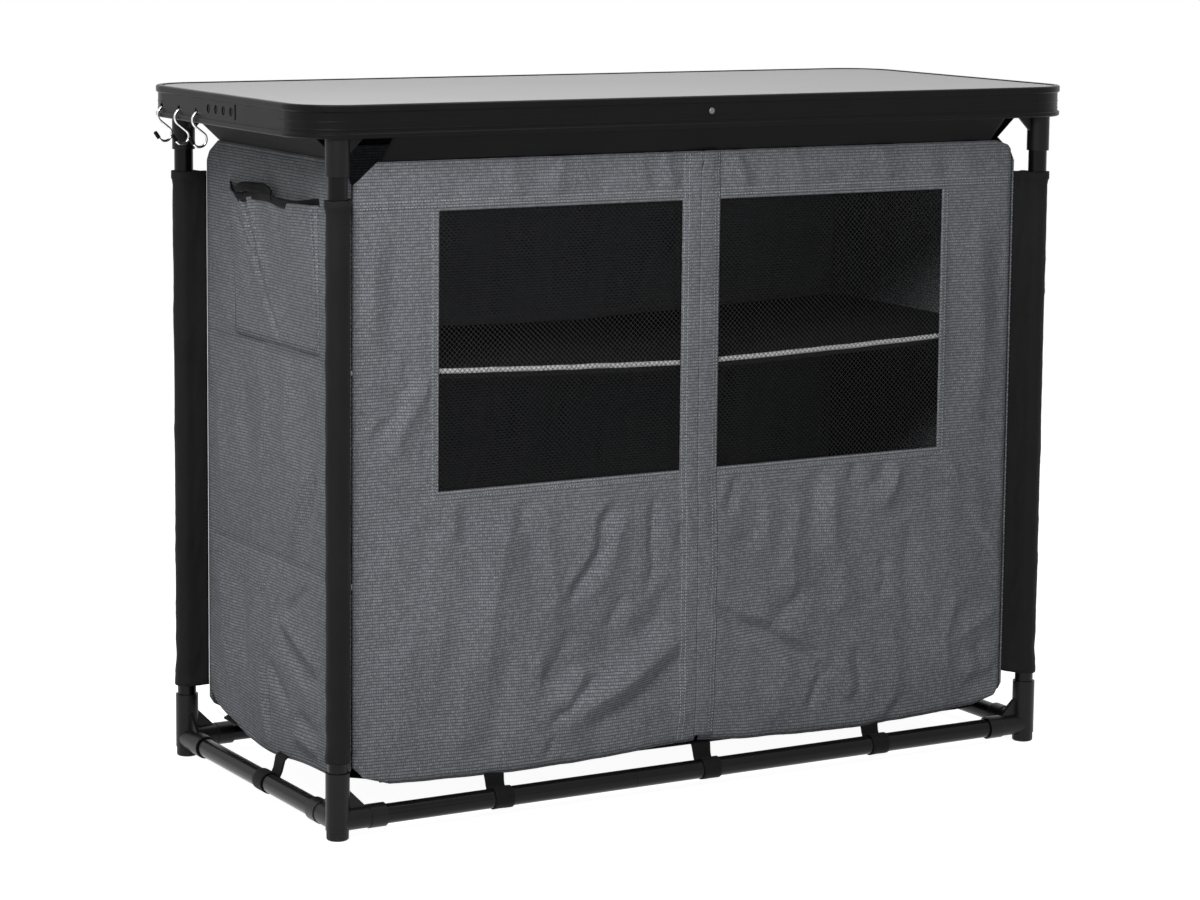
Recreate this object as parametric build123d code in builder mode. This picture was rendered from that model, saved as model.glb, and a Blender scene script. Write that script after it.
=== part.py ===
from build123d import *
import os
from math import asin, atan2, cos, degrees, hypot, radians, sin

os.makedirs("parts", exist_ok=True)

# Camping cupboard: a light board in an aluminium rim on a plug-together tube frame, with a cloth
# cabinet hung inside it. Sizes are in millimetres. The origin is on the ground under the middle of the
# table top, the doors face -Y, and left means the -X side, where the pocket and the hooks are.

# Overall sizes
height = 800.0
leg_span_x = 928.0
leg_span_y = 412.0
overhang_x = 46.0
overhang_past_socket_y = 6.7

# Tubes and the plastic that joins them
tube_radius = 11.0
tube_wall = 1.2
socket_wall = 2.2
socket_clearance = 0.1
socket_depth = 40.0
rail_height = 21.0
foot_height = 10.8
connector_top = 74.5
arm_reach = 56.0
arm_collar = 20.0
arm_over = 1.4
rail_stop = 19.0
rail_play = 0.5
seam_gap = 0.2
gusset_wall = 4.0
gusset_reach = 20.0
foot_inset = 0.9
foot_grooves = 12
foot_groove_radius = 1.3
foot_groove_depth = 0.5
foot_groove_from = 2.4
foot_chamfer = 1.2
foot_stud_radius = 6.0
foot_stud_length = 8.0
rail_seam_x = 91.0
spigot_length = 80.0
bracket_drop = 76.5
bracket_gusset_drop = 17.0
bracket_gusset_reach = 46.0
bracket_plate = 2.8
leg_stop = 3.0
bracket_plate_reach = 60.0
screw_insets = ((12.0, 42.0), (42.0, 12.0), (34.0, 34.0))
screw_radius = 1.8
screw_hole_radius = 1.9
screw_head_radius = 3.5
screw_head = 2.0
screw_bite = 5.0

# Rim and board
rim_height = 36.0
rim_corner = 60.0
lip_drop = 8.0
lip_proud = 2.4
web_wall = 1.4
lip_over = 3.2
bead_height = 6.0
rib_proud = 0.5
rib_height = 1.6
rib_drops = (18.2, 26.6)
smooth_from = -150.0
ledge_reach = 6.2
ledge_wall = 1.4
board_thickness = 8.0
board_sunk = 1.2
fit_gap = 0.3
rim_round = 1.3

# Things in the rim: accessory holes, a slot and hook holes on the left, a rivet at front and back
accessory_hole_radius = 5.0
accessory_count = 4
accessory_pitch = 20.5
accessory_first_y = 33.0
accessory_drop = 18.0
slot_y = -40.0
slot_width = 5.0
slot_height = 17.0
hook_hole_radius = 4.0
hook_places_y = (167.0, 117.0, 67.0)
rivet_x = -8.0
rivet_drop = 17.0
rivet_head_radius = 3.6
rivet_head = 1.4
rivet_chamfer = 0.8
rivet_length = 5.2
rivet_shank_radius = 1.6
brace_width = 24.0
brace_depth = 12.0
brace_wall = 1.5

# Cloth cabinet
cabinet_inset_x = 23.0
cabinet_inset_y = 14.0
cabinet_drop = 64.0
cabinet_bottom = 52.0
cloth = 1.2
corner_cut_x = 25.0
corner_cut_z = 19.0
corner_cut_top_x = 30.0
corner_cut_top_y = 33.0
corner_cut_top_z = 25.0
floor_thickness = 3.0
shelf_upper_z = 508.0
shelf_lower_z = 273.0
shelf_sag = 13.0
shelf_front_gap = 9.0
shelf_hem = 13.0
piping_radius = 2.4
panel_billow = 5.0
valance_inset_x = 59.0
valance_inset_y = 48.0
valance_header = 14.0
valance_drop = 24.0
valance_stitch = 10.0
cut_margin = 2.0
cut_depth = 12.0

# Doors, nets and the centre zip
door_gap = 0.4
door_fold_depth = 3.0
door_fold_faded = 0.1
door_folds = 5
window_inner = 25.0
window_outer = 335.0
window_drop = 56.0
window_height = 309.0
window_corner = 4.0
net_lap = 3.0
net_wall = 0.6
net_columns = 9
net_rows = 9
net_strand = 6.0
hem_width = 21.5
hem_proud = 2.9
hem_wall = 1.0
hem_lap = 3.0
slit_left = 3.4
slit_right = 0.3
slider_height = 14.0
slider_half_width = 5.0
slider_plate = 0.8
slider_park_drop = 31.0
slider_round = 2.0
pull_length = 23.0
pull_lap = 7.0
pull_wall = 0.9
pull_round = 2.0
coil_inner = 0.6
coil_outer = 3.9
coil_thickness = 2.4
coil_round = 0.7
tape_wall = 0.5
tape_lift = 8.0
flap_bottom = 66.0
flap_drop = 5.0

# Leg sleeves, straps, pocket
sleeve_clearance = 0.4
sleeve_wall = 1.0
sleeve_lift = 11.5
sleeve_drop = 102.0
wing_gap = 2.0
wing_closed = 3.0
wing_round = 1.4
strap_width = 24.0
strap_wall = 1.3
strap_clearance = 0.3
tail_low = radians(5)
tail_high = radians(35)
tail_bend_x = 17.6
tail_bend_drop = 4.0
tail_lap = 5.8
front_strap_places = (-262.0, 11.0, 247.0)
side_strap_y = -20.0
pocket_drop = 48.0
pocket_height = 170.0
pocket_front_y = -119.0
pocket_back_y = 110.0
pocket_foot = 3.0
pocket_mouth = 12.0
binding_height = 10.0
binding_wall = 0.8
binding_tail = 12.0

# Hooks
hook_wire = 1.5
hook_clear = 0.9
hook_top_bend = 9.5
hook_inner_turn = 15.0
hook_loop_bend = 8.5
hook_loop_drop = 22.0
hook_loop_shift = 1.1
hook_loop_turn = 197.0
tip_radius = 2.3
tip_length = 9.0
tip_round = 1.5

# Places worked out from the sizes above
leg_x = leg_span_x / 2
leg_y = leg_span_y / 2
bore_radius = tube_radius + socket_clearance
socket_radius = bore_radius + socket_wall
table_x = leg_span_x + 2 * overhang_x
table_y = leg_span_y + 2 * (socket_radius + overhang_past_socket_y)
rim_bottom = height - rim_height
web_outer = lip_proud
web_inner = lip_proud + web_wall
board_top = height - board_sunk
board_bottom = board_top - board_thickness
arm_radius = tube_radius + arm_over
foot_radius = socket_radius - foot_inset
bracket_bottom = height - bracket_drop
leg_seat = connector_top - socket_depth
plate_bottom = board_bottom - bracket_plate
leg_end = plate_bottom - leg_stop
cabinet_top = height - cabinet_drop
side_x = leg_x - cabinet_inset_x
inner_x = side_x - cloth
back_y = leg_y - cabinet_inset_y
door_face = back_y
door_back = door_face - cloth
hinge_x = inner_x - door_gap - cloth
door_top = cabinet_top - door_gap
flap_top = cabinet_top - flap_drop
window_top = cabinet_top - window_drop
window_bottom = window_top - window_height
fold_top = window_bottom - 4 * net_lap
window_width = window_outer - window_inner
window_middle_x = (window_inner + window_outer) / 2
window_middle_z = (window_bottom + window_top) / 2
tape_low = cabinet_bottom + tape_lift
tape_inner = coil_outer - tape_wall
tape_outer = window_inner - door_gap
piping_end = inner_x - 1.0
slider_park_z = cabinet_top - slider_park_drop
sleeve_bottom = connector_top + sleeve_lift
sleeve_top = height - sleeve_drop
pocket_top = cabinet_top - pocket_drop
pocket_bottom = pocket_top - pocket_height
tail_reach = cabinet_inset_x + cloth + tail_lap
hook_top_z = rim_bottom + bead_height / 2
hook_hole_z = hook_top_z + hook_top_bend
valance_end_x = leg_x - valance_inset_x
valance_end_y = leg_y - valance_inset_y
valance_top = height - valance_drop
valance_low = valance_top - valance_stitch
corners = {
    "front_left": (-1, -1),
    "front_right": (1, -1),
    "back_left": (-1, 1),
    "back_right": (1, 1),
}


screw_places = [
    (sx * (leg_x - dx), sy * (leg_y - dy)) for sx, sy in corners.values() for dx, dy in screw_insets
]


def save(part, name):
    part.label = name
    export_step(part, "parts/" + name + ".step")


def tube_between(start, end, outer, inner):
    """A straight tube from one point to another."""
    axis = Vector(*end) - Vector(*start)
    with BuildPart() as tube:
        with BuildSketch(Plane(origin=start, z_dir=axis)):
            Circle(outer)
            Circle(inner, mode=Mode.SUBTRACT)
        extrude(amount=axis.length)
    return tube.part


# Rim: one extrusion bent round the board, drawn as a profile with u measured inwards from its face
def rim_profile_points():
    top = height
    bottom = rim_bottom
    slot_roof = board_top + socket_clearance
    points = [
        (rim_round, top),
        (web_inner + lip_over, top),
        (web_inner + lip_over, slot_roof),
        (web_inner, slot_roof),
        (web_inner, board_bottom),
        (web_inner + ledge_reach, board_bottom),
        (web_inner + ledge_reach, board_bottom - ledge_wall),
        (web_inner, board_bottom - ledge_wall),
        (web_inner, bottom),
        (rim_round, bottom),
        (0, bottom + rim_round),
        (0, bottom + bead_height - rim_round),
        (rim_round, bottom + bead_height),
        (web_outer, bottom + bead_height),
    ]
    for drop in reversed(rib_drops):
        rib = top - drop
        points += [
            (web_outer, rib - rib_height / 2),
            (web_outer - rib_proud, rib - rib_height / 4),
            (web_outer - rib_proud, rib + rib_height / 4),
            (web_outer, rib + rib_height / 2),
        ]
    points += [
        (web_outer, top - lip_drop),
        (rim_round, top - lip_drop),
        (0, top - lip_drop + rim_round),
        (0, top - rim_round),
    ]
    return points


with BuildPart() as rim:
    with BuildLine() as half_way_round:
        FilletPolyline(
            (0, -table_y / 2),
            (table_x / 2, -table_y / 2),
            (table_x / 2, table_y / 2),
            (0, table_y / 2),
            radius=rim_corner,
        )
    with BuildSketch(Plane(origin=(0, -table_y / 2, 0), x_dir=(0, 1, 0), z_dir=(1, 0, 0))):
        with BuildLine():
            Polyline(rim_profile_points(), close=True)
        make_face()
    sweep(path=half_way_round.wires()[0])
    mirror(about=Plane.YZ)
    with BuildSketch(Plane(origin=(-table_x / 2 - 1, 0, 0), x_dir=(0, 1, 0), z_dir=(1, 0, 0))):
        for i in range(accessory_count):
            with Locations((accessory_first_y - i * accessory_pitch, height - accessory_drop)):
                Circle(accessory_hole_radius)
        with Locations((slot_y, height - accessory_drop)):
            Rectangle(slot_width, slot_height)
        for y in hook_places_y:
            with Locations((y, hook_hole_z)):
                Circle(hook_hole_radius)
    extrude(amount=web_inner + cut_margin, mode=Mode.SUBTRACT)
    with BuildSketch(Plane.YZ.offset(-table_x / 2 - 1)):
        with Locations(((smooth_from + table_y / 2 - rim_corner) / 2, height - sum(rib_drops) / 2)):
            Rectangle(
                table_y / 2 - rim_corner - smooth_from, max(rib_drops) - min(rib_drops) + 2 * rib_height
            )
    extrude(amount=web_outer + 1, mode=Mode.SUBTRACT)
    with BuildSketch(Plane.XZ.offset(-table_y / 2 - 1)):
        with Locations((rivet_x, height - rivet_drop)):
            Circle(rivet_shank_radius + socket_clearance)
    extrude(amount=table_y + 2, mode=Mode.SUBTRACT)
save(rim.part, "table_rim")

with BuildPart() as board:
    edge = web_inner + fit_gap
    with BuildSketch(Plane.XY.offset(board_bottom)):
        RectangleRounded(table_x - 2 * edge, table_y - 2 * edge, rim_corner - edge)
    extrude(amount=board_thickness)
    with BuildSketch(Plane.XY.offset(board_bottom)):
        with Locations(*screw_places):
            Circle(screw_hole_radius)
    extrude(amount=screw_bite + fit_gap, mode=Mode.SUBTRACT)
save(board.part, "table_board")

with BuildPart() as brace:
    brace_end = table_y / 2 - web_inner - fit_gap
    brace_top = board_bottom - ledge_wall - fit_gap
    with BuildSketch(Plane(origin=(rivet_x, -brace_end, brace_top), x_dir=(1, 0, 0), z_dir=(0, 1, 0))):
        with Locations((0, brace_depth / 2)):
            Rectangle(brace_width, brace_depth)
        with Locations((0, brace_depth / 2 + brace_wall / 2)):
            Rectangle(brace_width - 2 * brace_wall, brace_depth - brace_wall, mode=Mode.SUBTRACT)
    extrude(amount=2 * brace_end)
    for side in (-1, 1):
        with BuildSketch(Plane.XZ.offset(side * brace_end - (brace_wall if side > 0 else 0))):
            with Locations((rivet_x, brace_top - brace_depth / 2)):
                Rectangle(brace_width, brace_depth)
                Circle(rivet_shank_radius + socket_clearance, mode=Mode.SUBTRACT)
        extrude(amount=brace_wall)
save(brace.part, "table_brace")

with BuildPart() as rivets:
    for side in (-1, 1):
        face = side * (table_y / 2 - web_outer + rib_proud)
        outward = (0, side, 0)
        with BuildSketch(Plane(origin=(rivet_x, face, height - rivet_drop), z_dir=outward)):
            Circle(rivet_head_radius)
        extrude(amount=rivet_head)
        with BuildSketch(Plane(origin=(rivet_x, face, height - rivet_drop), z_dir=(0, -side, 0))):
            Circle(rivet_shank_radius)
        extrude(amount=rivet_length)
    heads = rivets.edges().filter_by(GeomType.CIRCLE).group_by(SortBy.RADIUS)[-1]
    outer_heads = heads.group_by(Axis.Y)
    chamfer(outer_heads[0] + outer_heads[-1], rivet_chamfer)
save(rivets.part, "rim_rivets")


# Frame, corner by corner
def top_bracket(sx, sy):
    """Socket, plate and two gussets that carry a leg under the board."""
    px = sx * leg_x
    py = sy * leg_y
    inset = web_inner + ledge_reach + fit_gap
    with BuildPart() as bracket:
        with BuildSketch(Plane.XY.offset(plate_bottom)):
            RectangleRounded(table_x - 2 * inset, table_y - 2 * inset, rim_corner - inset)
            reach = bracket_plate_reach
            with Locations((px - sx * (reach / 2 - socket_radius), py - sy * (reach / 2 - socket_radius))):
                Rectangle(reach, reach, mode=Mode.INTERSECT)
        extrude(amount=bracket_plate)
        with BuildSketch(Plane(origin=(px, py, bracket_bottom))):
            Circle(socket_radius)
        extrude(amount=plate_bottom - bracket_bottom)
        for direction in ((-sx, 0, 0), (0, -sy, 0)):
            across = (direction[1], -direction[0], 0)
            with BuildSketch(Plane(origin=(px, py, 0), x_dir=direction, z_dir=across)) as web:
                flip = 1 if Plane(origin=(0, 0, 0), x_dir=direction, z_dir=across).y_dir.Z > 0 else -1
                low = rim_bottom - bracket_gusset_drop
                reach_x = bracket_gusset_reach
                with BuildLine():
                    Polyline(
                        (0, flip * low),
                        (socket_radius, flip * low),
                        (reach_x, flip * (low + reach_x - socket_radius)),
                        (reach_x, flip * plate_bottom),
                        (0, flip * plate_bottom),
                        close=True,
                    )
                make_face()
            extrude(amount=gusset_wall / 2, both=True)
        with BuildSketch(Plane(origin=(px, py, bracket_bottom))):
            Circle(bore_radius)
        extrude(amount=leg_end - bracket_bottom, mode=Mode.SUBTRACT)
        with BuildSketch(Plane.XY.offset(plate_bottom)):
            with Locations(*screw_places):
                Circle(screw_hole_radius)
        extrude(amount=bracket_plate, mode=Mode.SUBTRACT)
    return bracket.part


def base_connector(sx, sy):
    """Three-way connector: an upright socket and two level arms, stiffened by gussets."""
    px = sx * leg_x
    py = sy * leg_y
    directions = ((-sx, 0, 0), (0, -sy, 0))
    with BuildPart() as connector:
        with BuildSketch(Plane(origin=(px, py, foot_height))):
            Circle(socket_radius)
        extrude(amount=connector_top - foot_height)
        for direction in directions:
            with BuildSketch(Plane(origin=(px, py, rail_height), z_dir=direction)):
                Circle(arm_radius)
            extrude(amount=arm_reach)
            collar_start = Vector(px, py, rail_height) + Vector(*direction) * (arm_reach - arm_collar)
            with BuildSketch(Plane(origin=collar_start, z_dir=direction)):
                Circle(socket_radius)
            extrude(amount=arm_collar)
            across = (direction[1], -direction[0], 0)
            plane = Plane(origin=(px, py, 0), x_dir=direction, z_dir=across)
            flip = 1 if plane.y_dir.Z > 0 else -1
            arm_top = rail_height + arm_radius
            with BuildSketch(plane):
                with BuildLine():
                    Polyline(
                        (0, flip * rail_height),
                        (0, flip * (arm_top + gusset_reach)),
                        (socket_radius, flip * (arm_top + gusset_reach)),
                        (socket_radius + gusset_reach, flip * arm_top),
                        (socket_radius + gusset_reach, flip * rail_height),
                        close=True,
                    )
                make_face()
            extrude(amount=gusset_wall / 2, both=True)
        with BuildSketch(Plane(origin=(px, py, leg_seat))):
            Circle(bore_radius)
        extrude(amount=socket_depth, mode=Mode.SUBTRACT)
        for direction in directions:
            stop = Vector(px, py, rail_height) + Vector(*direction) * rail_stop
            with BuildSketch(Plane(origin=stop, z_dir=direction)):
                Circle(bore_radius)
            extrude(amount=arm_reach, mode=Mode.SUBTRACT)
        with BuildSketch(Plane(origin=(px, py, foot_height))):
            Circle(foot_stud_radius + socket_clearance)
        extrude(amount=foot_stud_length + 1, mode=Mode.SUBTRACT)
        with BuildSketch(Plane(origin=(px, py, 0))):
            Circle(foot_radius + socket_clearance)
        extrude(amount=foot_height, mode=Mode.SUBTRACT)
    return connector.part


def foot_cap(px, py):
    """Cap under a connector, held by a stud."""
    with BuildPart() as cap:
        with BuildSketch(Plane(origin=(px, py, 0))):
            Circle(foot_radius)
        extrude(amount=foot_height)
        chamfer(cap.edges().group_by(Axis.Z)[0], foot_chamfer)
        with BuildSketch(Plane(origin=(px, py, foot_groove_from))):
            groove_centre = foot_radius + foot_groove_radius - foot_groove_depth
            with PolarLocations(groove_centre, foot_grooves):
                Circle(foot_groove_radius)
        extrude(amount=foot_height, mode=Mode.SUBTRACT)
        with BuildSketch(Plane(origin=(px, py, foot_height))):
            Circle(foot_stud_radius)
        extrude(amount=foot_stud_length)
    return cap.part


def leg_sleeve(sx, sy):
    """Cloth sleeve: wraps the leg and closes in a wing sewn to the cabinet's corner."""
    leg = (sx * leg_x, sy * leg_y)
    inner = tube_radius + sleeve_clearance
    seam = (sx * (side_x + wing_gap), sy * (back_y + wing_gap))
    hollow_end = (seam[0] + sx * wing_closed, seam[1] + sy * wing_closed)
    with BuildPart() as sleeve:
        with BuildSketch(Plane.XY.offset(sleeve_bottom)):
            with Locations(leg):
                Circle(inner + sleeve_wall)
            with Locations(seam):
                Circle(wing_round)
            make_hull()
        extrude(amount=sleeve_top - sleeve_bottom)
        with BuildSketch(Plane.XY.offset(sleeve_bottom)):
            with Locations(leg):
                Circle(inner)
            with Locations(hollow_end):
                Circle(wing_round - sleeve_wall)
            make_hull()
        extrude(amount=sleeve_top - sleeve_bottom, mode=Mode.SUBTRACT)
    return sleeve.part


for name, (sx, sy) in corners.items():
    px = sx * leg_x
    py = sy * leg_y
    save(top_bracket(sx, sy), "top_bracket_" + name)
    save(base_connector(sx, sy), "base_connector_" + name)
    save(
        tube_between((px, py, leg_seat), (px, py, leg_end), tube_radius, tube_radius - tube_wall),
        "leg_" + name,
    )
    save(leg_sleeve(sx, sy), "leg_sleeve_" + name)

feet = Compound(children=[foot_cap(sx * leg_x, sy * leg_y) for sx, sy in corners.values()])
save(feet, "foot_caps")

with BuildPart() as bracket_screws:
    with BuildSketch(Plane.XY.offset(plate_bottom - screw_head)):
        with Locations(*screw_places):
            Circle(screw_head_radius)
    extrude(amount=screw_head)
    with BuildSketch(Plane.XY.offset(plate_bottom)):
        with Locations(*screw_places):
            Circle(screw_radius)
    extrude(amount=bracket_plate + screw_bite)
save(bracket_screws.part, "bracket_screws")

# Ground rails: the long ones are two halves joined on a spigot, the short ones are whole
rail_end_x = leg_x - rail_stop - rail_play
rail_end_y = leg_y - rail_stop - rail_play
rail_inner = tube_radius - tube_wall
rail_ends = {
    "front_rail_left": ((-rail_end_x, -leg_y), (-rail_seam_x - seam_gap, -leg_y)),
    "front_rail_right": ((-rail_seam_x + seam_gap, -leg_y), (rail_end_x, -leg_y)),
    "back_rail_left": ((-rail_end_x, leg_y), (rail_seam_x - seam_gap, leg_y)),
    "back_rail_right": ((rail_seam_x + seam_gap, leg_y), (rail_end_x, leg_y)),
    "left_rail": ((-leg_x, -rail_end_y), (-leg_x, rail_end_y)),
    "right_rail": ((leg_x, -rail_end_y), (leg_x, rail_end_y)),
}
for name, (start, end) in rail_ends.items():
    save(
        tube_between((*start, rail_height), (*end, rail_height), tube_radius, rail_inner),
        name,
    )
spigots = []
for side in (-1, 1):
    middle = side * rail_seam_x
    spigots.append(
        tube_between(
            (middle - spigot_length / 2, side * leg_y, rail_height),
            (middle + spigot_length / 2, side * leg_y, rail_height),
            rail_inner - socket_clearance,
            rail_inner - socket_clearance - tube_wall,
        )
    )
save(Compound(children=spigots), "rail_spigots")


# Straps that tie the cabinet floor down to the rails
def rail_strap(origin, inward, along):
    """A webbing loop round a rail with a tail up to the floor's edge; drawn square to the rail."""
    plane = Plane(origin=origin, x_dir=inward, z_dir=along)
    flip = 1 if plane.y_dir.Z > 0 else -1
    ring_inner = tube_radius + strap_clearance
    ring_outer = ring_inner + strap_wall
    edge = cabinet_bottom - rail_height
    with BuildPart() as strap:
        with BuildSketch(plane):
            with BuildLine():
                Polyline(
                    (ring_inner * cos(tail_high), flip * ring_inner * sin(tail_high)),
                    (ring_outer * cos(tail_low), flip * ring_outer * sin(tail_low)),
                    (tail_bend_x + strap_wall, flip * (edge - tail_bend_drop - strap_wall)),
                    (tail_reach, flip * (edge - strap_wall)),
                    (tail_reach, flip * edge),
                    (tail_bend_x, flip * (edge - tail_bend_drop)),
                    close=True,
                )
            make_face()
            Circle(ring_outer)
            Circle(ring_inner, mode=Mode.SUBTRACT)
        extrude(amount=strap_width / 2, both=True)
    return strap.part


straps = []
for x in front_strap_places:
    straps.append(rail_strap((x, -leg_y, rail_height), (0, 1, 0), (1, 0, 0)))
    straps.append(rail_strap((x, leg_y, rail_height), (0, -1, 0), (1, 0, 0)))
straps.append(rail_strap((-leg_x, side_strap_y, rail_height), (1, 0, 0), (0, 1, 0)))
straps.append(rail_strap((leg_x, side_strap_y, rail_height), (-1, 0, 0), (0, 1, 0)))
save(Compound(children=straps), "rail_straps")


# Cabinet cloth
def billowed_profile(plane, inner, bulges, outward):
    """A sheet seen edge on: arcs that bulge between the seams at the shelves."""
    outer = inner + outward * cloth
    with BuildSketch(plane) as profile:
        with BuildLine():
            for low, high, bulge in zip(seams, seams[1:], bulges):
                for face in (inner, outer):
                    if bulge:
                        ThreePointArc((face, low), (face + outward * bulge, (low + high) / 2), (face, high))
                    else:
                        Line((face, low), (face, high))
            for level in (seams[0], seams[-1]):
                Line((inner, level), (outer, level))
        make_face()
    return profile.sketch


def corner_cuts(plane, half_width, top_cut):
    """Cuts the slanted corners off a hanging panel drawn on this plane."""
    with BuildSketch(plane) as cuts:
        for side in (-1, 1):
            edge = side * half_width
            beyond = side * (half_width + cut_margin)
            for level, way, run, rise in (
                (cabinet_bottom, 1, corner_cut_x, corner_cut_z),
                (cabinet_top, -1, top_cut, corner_cut_top_z),
            ):
                with BuildLine():
                    Polyline(
                        (edge, level + way * rise),
                        (beyond, level + way * rise),
                        (beyond, level - way * cut_margin),
                        (edge - side * run, level - way * cut_margin),
                        (edge - side * run, level),
                        close=True,
                    )
                make_face()
    extrude(cuts.sketch, amount=cut_depth, both=True, mode=Mode.SUBTRACT)


seams = (cabinet_bottom, shelf_lower_z, shelf_upper_z, cabinet_top)
side_front = -door_back + door_gap
side_back = back_y - cloth
for name, side in (("left", -1), ("right", 1)):
    with BuildPart() as panel:
        bulges = (panel_billow, panel_billow, 0)
        extrude(
            billowed_profile(Plane.XZ.offset(-side_back), side * inner_x, bulges, side),
            amount=side_back - side_front,
        )
        corner_cuts(Plane.YZ.offset(side * side_x), back_y, corner_cut_top_y)
    save(panel.part, name + "_panel")

with BuildPart() as back_panel:
    extrude(
        billowed_profile(Plane.YZ.offset(-side_x), side_back, (panel_billow,) * 3, 1),
        amount=2 * side_x,
    )
    corner_cuts(Plane.XZ.offset(-back_y), side_x, corner_cut_top_x)
save(back_panel.part, "back_panel")

floor_front = -door_back + shelf_front_gap
with BuildPart() as floor:
    with BuildSketch(Plane.XY.offset(cabinet_bottom)):
        with Locations((0, (floor_front + side_back) / 2)):
            Rectangle(2 * inner_x, side_back - floor_front)
    extrude(amount=floor_thickness)
    chamfer(floor.edges().filter_by(Axis.Z), corner_cut_x)
save(floor.part, "floor_panel")


def sagging_strip(y, run, seam_z, drop):
    """Cloth between the side panels that sags to the middle, drawn across the front and run forwards."""
    with BuildSketch(Plane.XZ.offset(-y)) as strip:
        with BuildLine():
            for level in (seam_z, seam_z - drop):
                ThreePointArc((-inner_x, level), (0, level - shelf_sag), (inner_x, level))
            for x in (-inner_x, inner_x):
                Line((x, seam_z), (x, seam_z - drop))
        make_face()
    extrude(strip.sketch, amount=run)


def shelf_piping(seam_z):
    """The pale corded edge along a shelf's front, turned about the centre of the sag."""
    y = floor_front - piping_radius
    z = seam_z - piping_radius
    sag_radius = (piping_end**2 + shelf_sag**2) / (2 * shelf_sag)
    with BuildPart() as piping:
        with BuildLine(mode=Mode.PRIVATE) as edge_line:
            ThreePointArc((-piping_end, y, z), (0, y, z - shelf_sag), (piping_end, y, z))
        with BuildSketch(Plane(origin=edge_line.line @ 0, z_dir=edge_line.line % 0)):
            Circle(piping_radius)
        centre = Axis((0, y, z - shelf_sag + sag_radius), (0, -1, 0))
        revolve(axis=centre, revolution_arc=2 * degrees(asin(piping_end / sag_radius)))
    return piping.part


for name, seam_z in (("shelf_upper", shelf_upper_z), ("shelf_lower", shelf_lower_z)):
    with BuildPart() as shelf:
        sagging_strip(side_back, side_back - floor_front, seam_z, cloth)
        sagging_strip(floor_front + cloth, cloth, seam_z, shelf_hem)
    save(shelf.part, name)
save(Compound(children=[shelf_piping(shelf_upper_z), shelf_piping(shelf_lower_z)]), "shelf_pipings")

# Valances: black strips that hang the cabinet from the rim at front and back
for name, side in (("front", -1), ("back", 1)):
    rim_face = table_y / 2 - web_inner - fit_gap
    panel_face = door_back - door_gap if side < 0 else side_back
    with BuildPart() as valance:
        with BuildSketch(Plane.YZ.offset(-valance_end_x)):
            with BuildLine():
                Polyline(
                    (side * rim_face, valance_top),
                    (side * rim_face, valance_low),
                    (side * panel_face, cabinet_top),
                    (side * (panel_face - cloth), cabinet_top),
                    (side * (rim_face - cloth), valance_low + cloth),
                    (side * (rim_face - cloth), valance_top),
                    close=True,
                )
            make_face()
        extrude(amount=2 * valance_end_x)
        with BuildSketch(Plane.YZ.offset(-inner_x)):
            with Locations((side * (panel_face - cloth / 2), cabinet_top - valance_header / 2)):
                Rectangle(cloth, valance_header)
        extrude(amount=2 * inner_x)
        corner_cuts(Plane.XZ.offset(-side * panel_face), side_x, corner_cut_top_x)
    save(valance.part, name + "_valance")

# Side valances slope up to the underside of the board, beside the rim's ledge
for name, side in (("left", -1), ("right", 1)):
    hang_x = table_x / 2 - web_inner - ledge_reach - fit_gap
    with BuildPart() as valance:
        with BuildSketch(Plane.XZ.offset(-valance_end_y)):
            with BuildLine():
                Polyline(
                    (side * hang_x, board_bottom),
                    (side * (hang_x - 2 * cloth), board_bottom),
                    (side * (inner_x - cloth), cabinet_top),
                    (side * (inner_x - cloth), cabinet_top - valance_header),
                    (side * inner_x, cabinet_top - valance_header),
                    (side * inner_x, cabinet_top),
                    close=True,
                )
            make_face()
        extrude(amount=2 * valance_end_y)
    save(valance.part, name + "_valance")


# Doors: cloth leaves hinged at the cabinet's front corners, with a net window each
def leaf_outline(plane, side, depth):
    """The door's cloth cut level, with every other stretch bowed out as a fold."""
    step = (hinge_x - hem_width) / door_folds
    with BuildSketch(plane) as outline:
        with BuildLine():
            for face in (-door_face, -door_back):
                for i in range(door_folds):
                    start = side * (hem_width + i * step)
                    end = side * (hem_width + (i + 1) * step)
                    if i % 2:
                        ThreePointArc((start, face), ((start + end) / 2, face - depth), (end, face))
                    else:
                        Line((start, face), (end, face))
            for x in (hem_width, hinge_x):
                Line((side * x, -door_face), (side * x, -door_back))
        make_face()
    return outline.sketch.face()


def door_leaf(side):
    """One door's cloth: flat round the window, with soft folds that fade upwards below it."""
    flat_plane = Plane.XY.offset(fold_top)
    with BuildPart() as leaf:
        folded = leaf_outline(Plane.XY.offset(cabinet_bottom), side, door_fold_depth)
        flat = leaf_outline(flat_plane, side, door_fold_faded)
        loft([folded, flat], ruled=True)
        extrude(flat, amount=door_top - fold_top)
        with BuildSketch(Plane.XZ.offset(door_face)) as window:
            with Locations((side * window_middle_x, window_middle_z)):
                RectangleRounded(window_width, window_height, window_corner)
        extrude(window.sketch, amount=cut_depth, both=True, mode=Mode.SUBTRACT)
        corner_cuts(Plane.XZ.offset(door_face), hinge_x, corner_cut_top_x)
    return leaf.part


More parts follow.
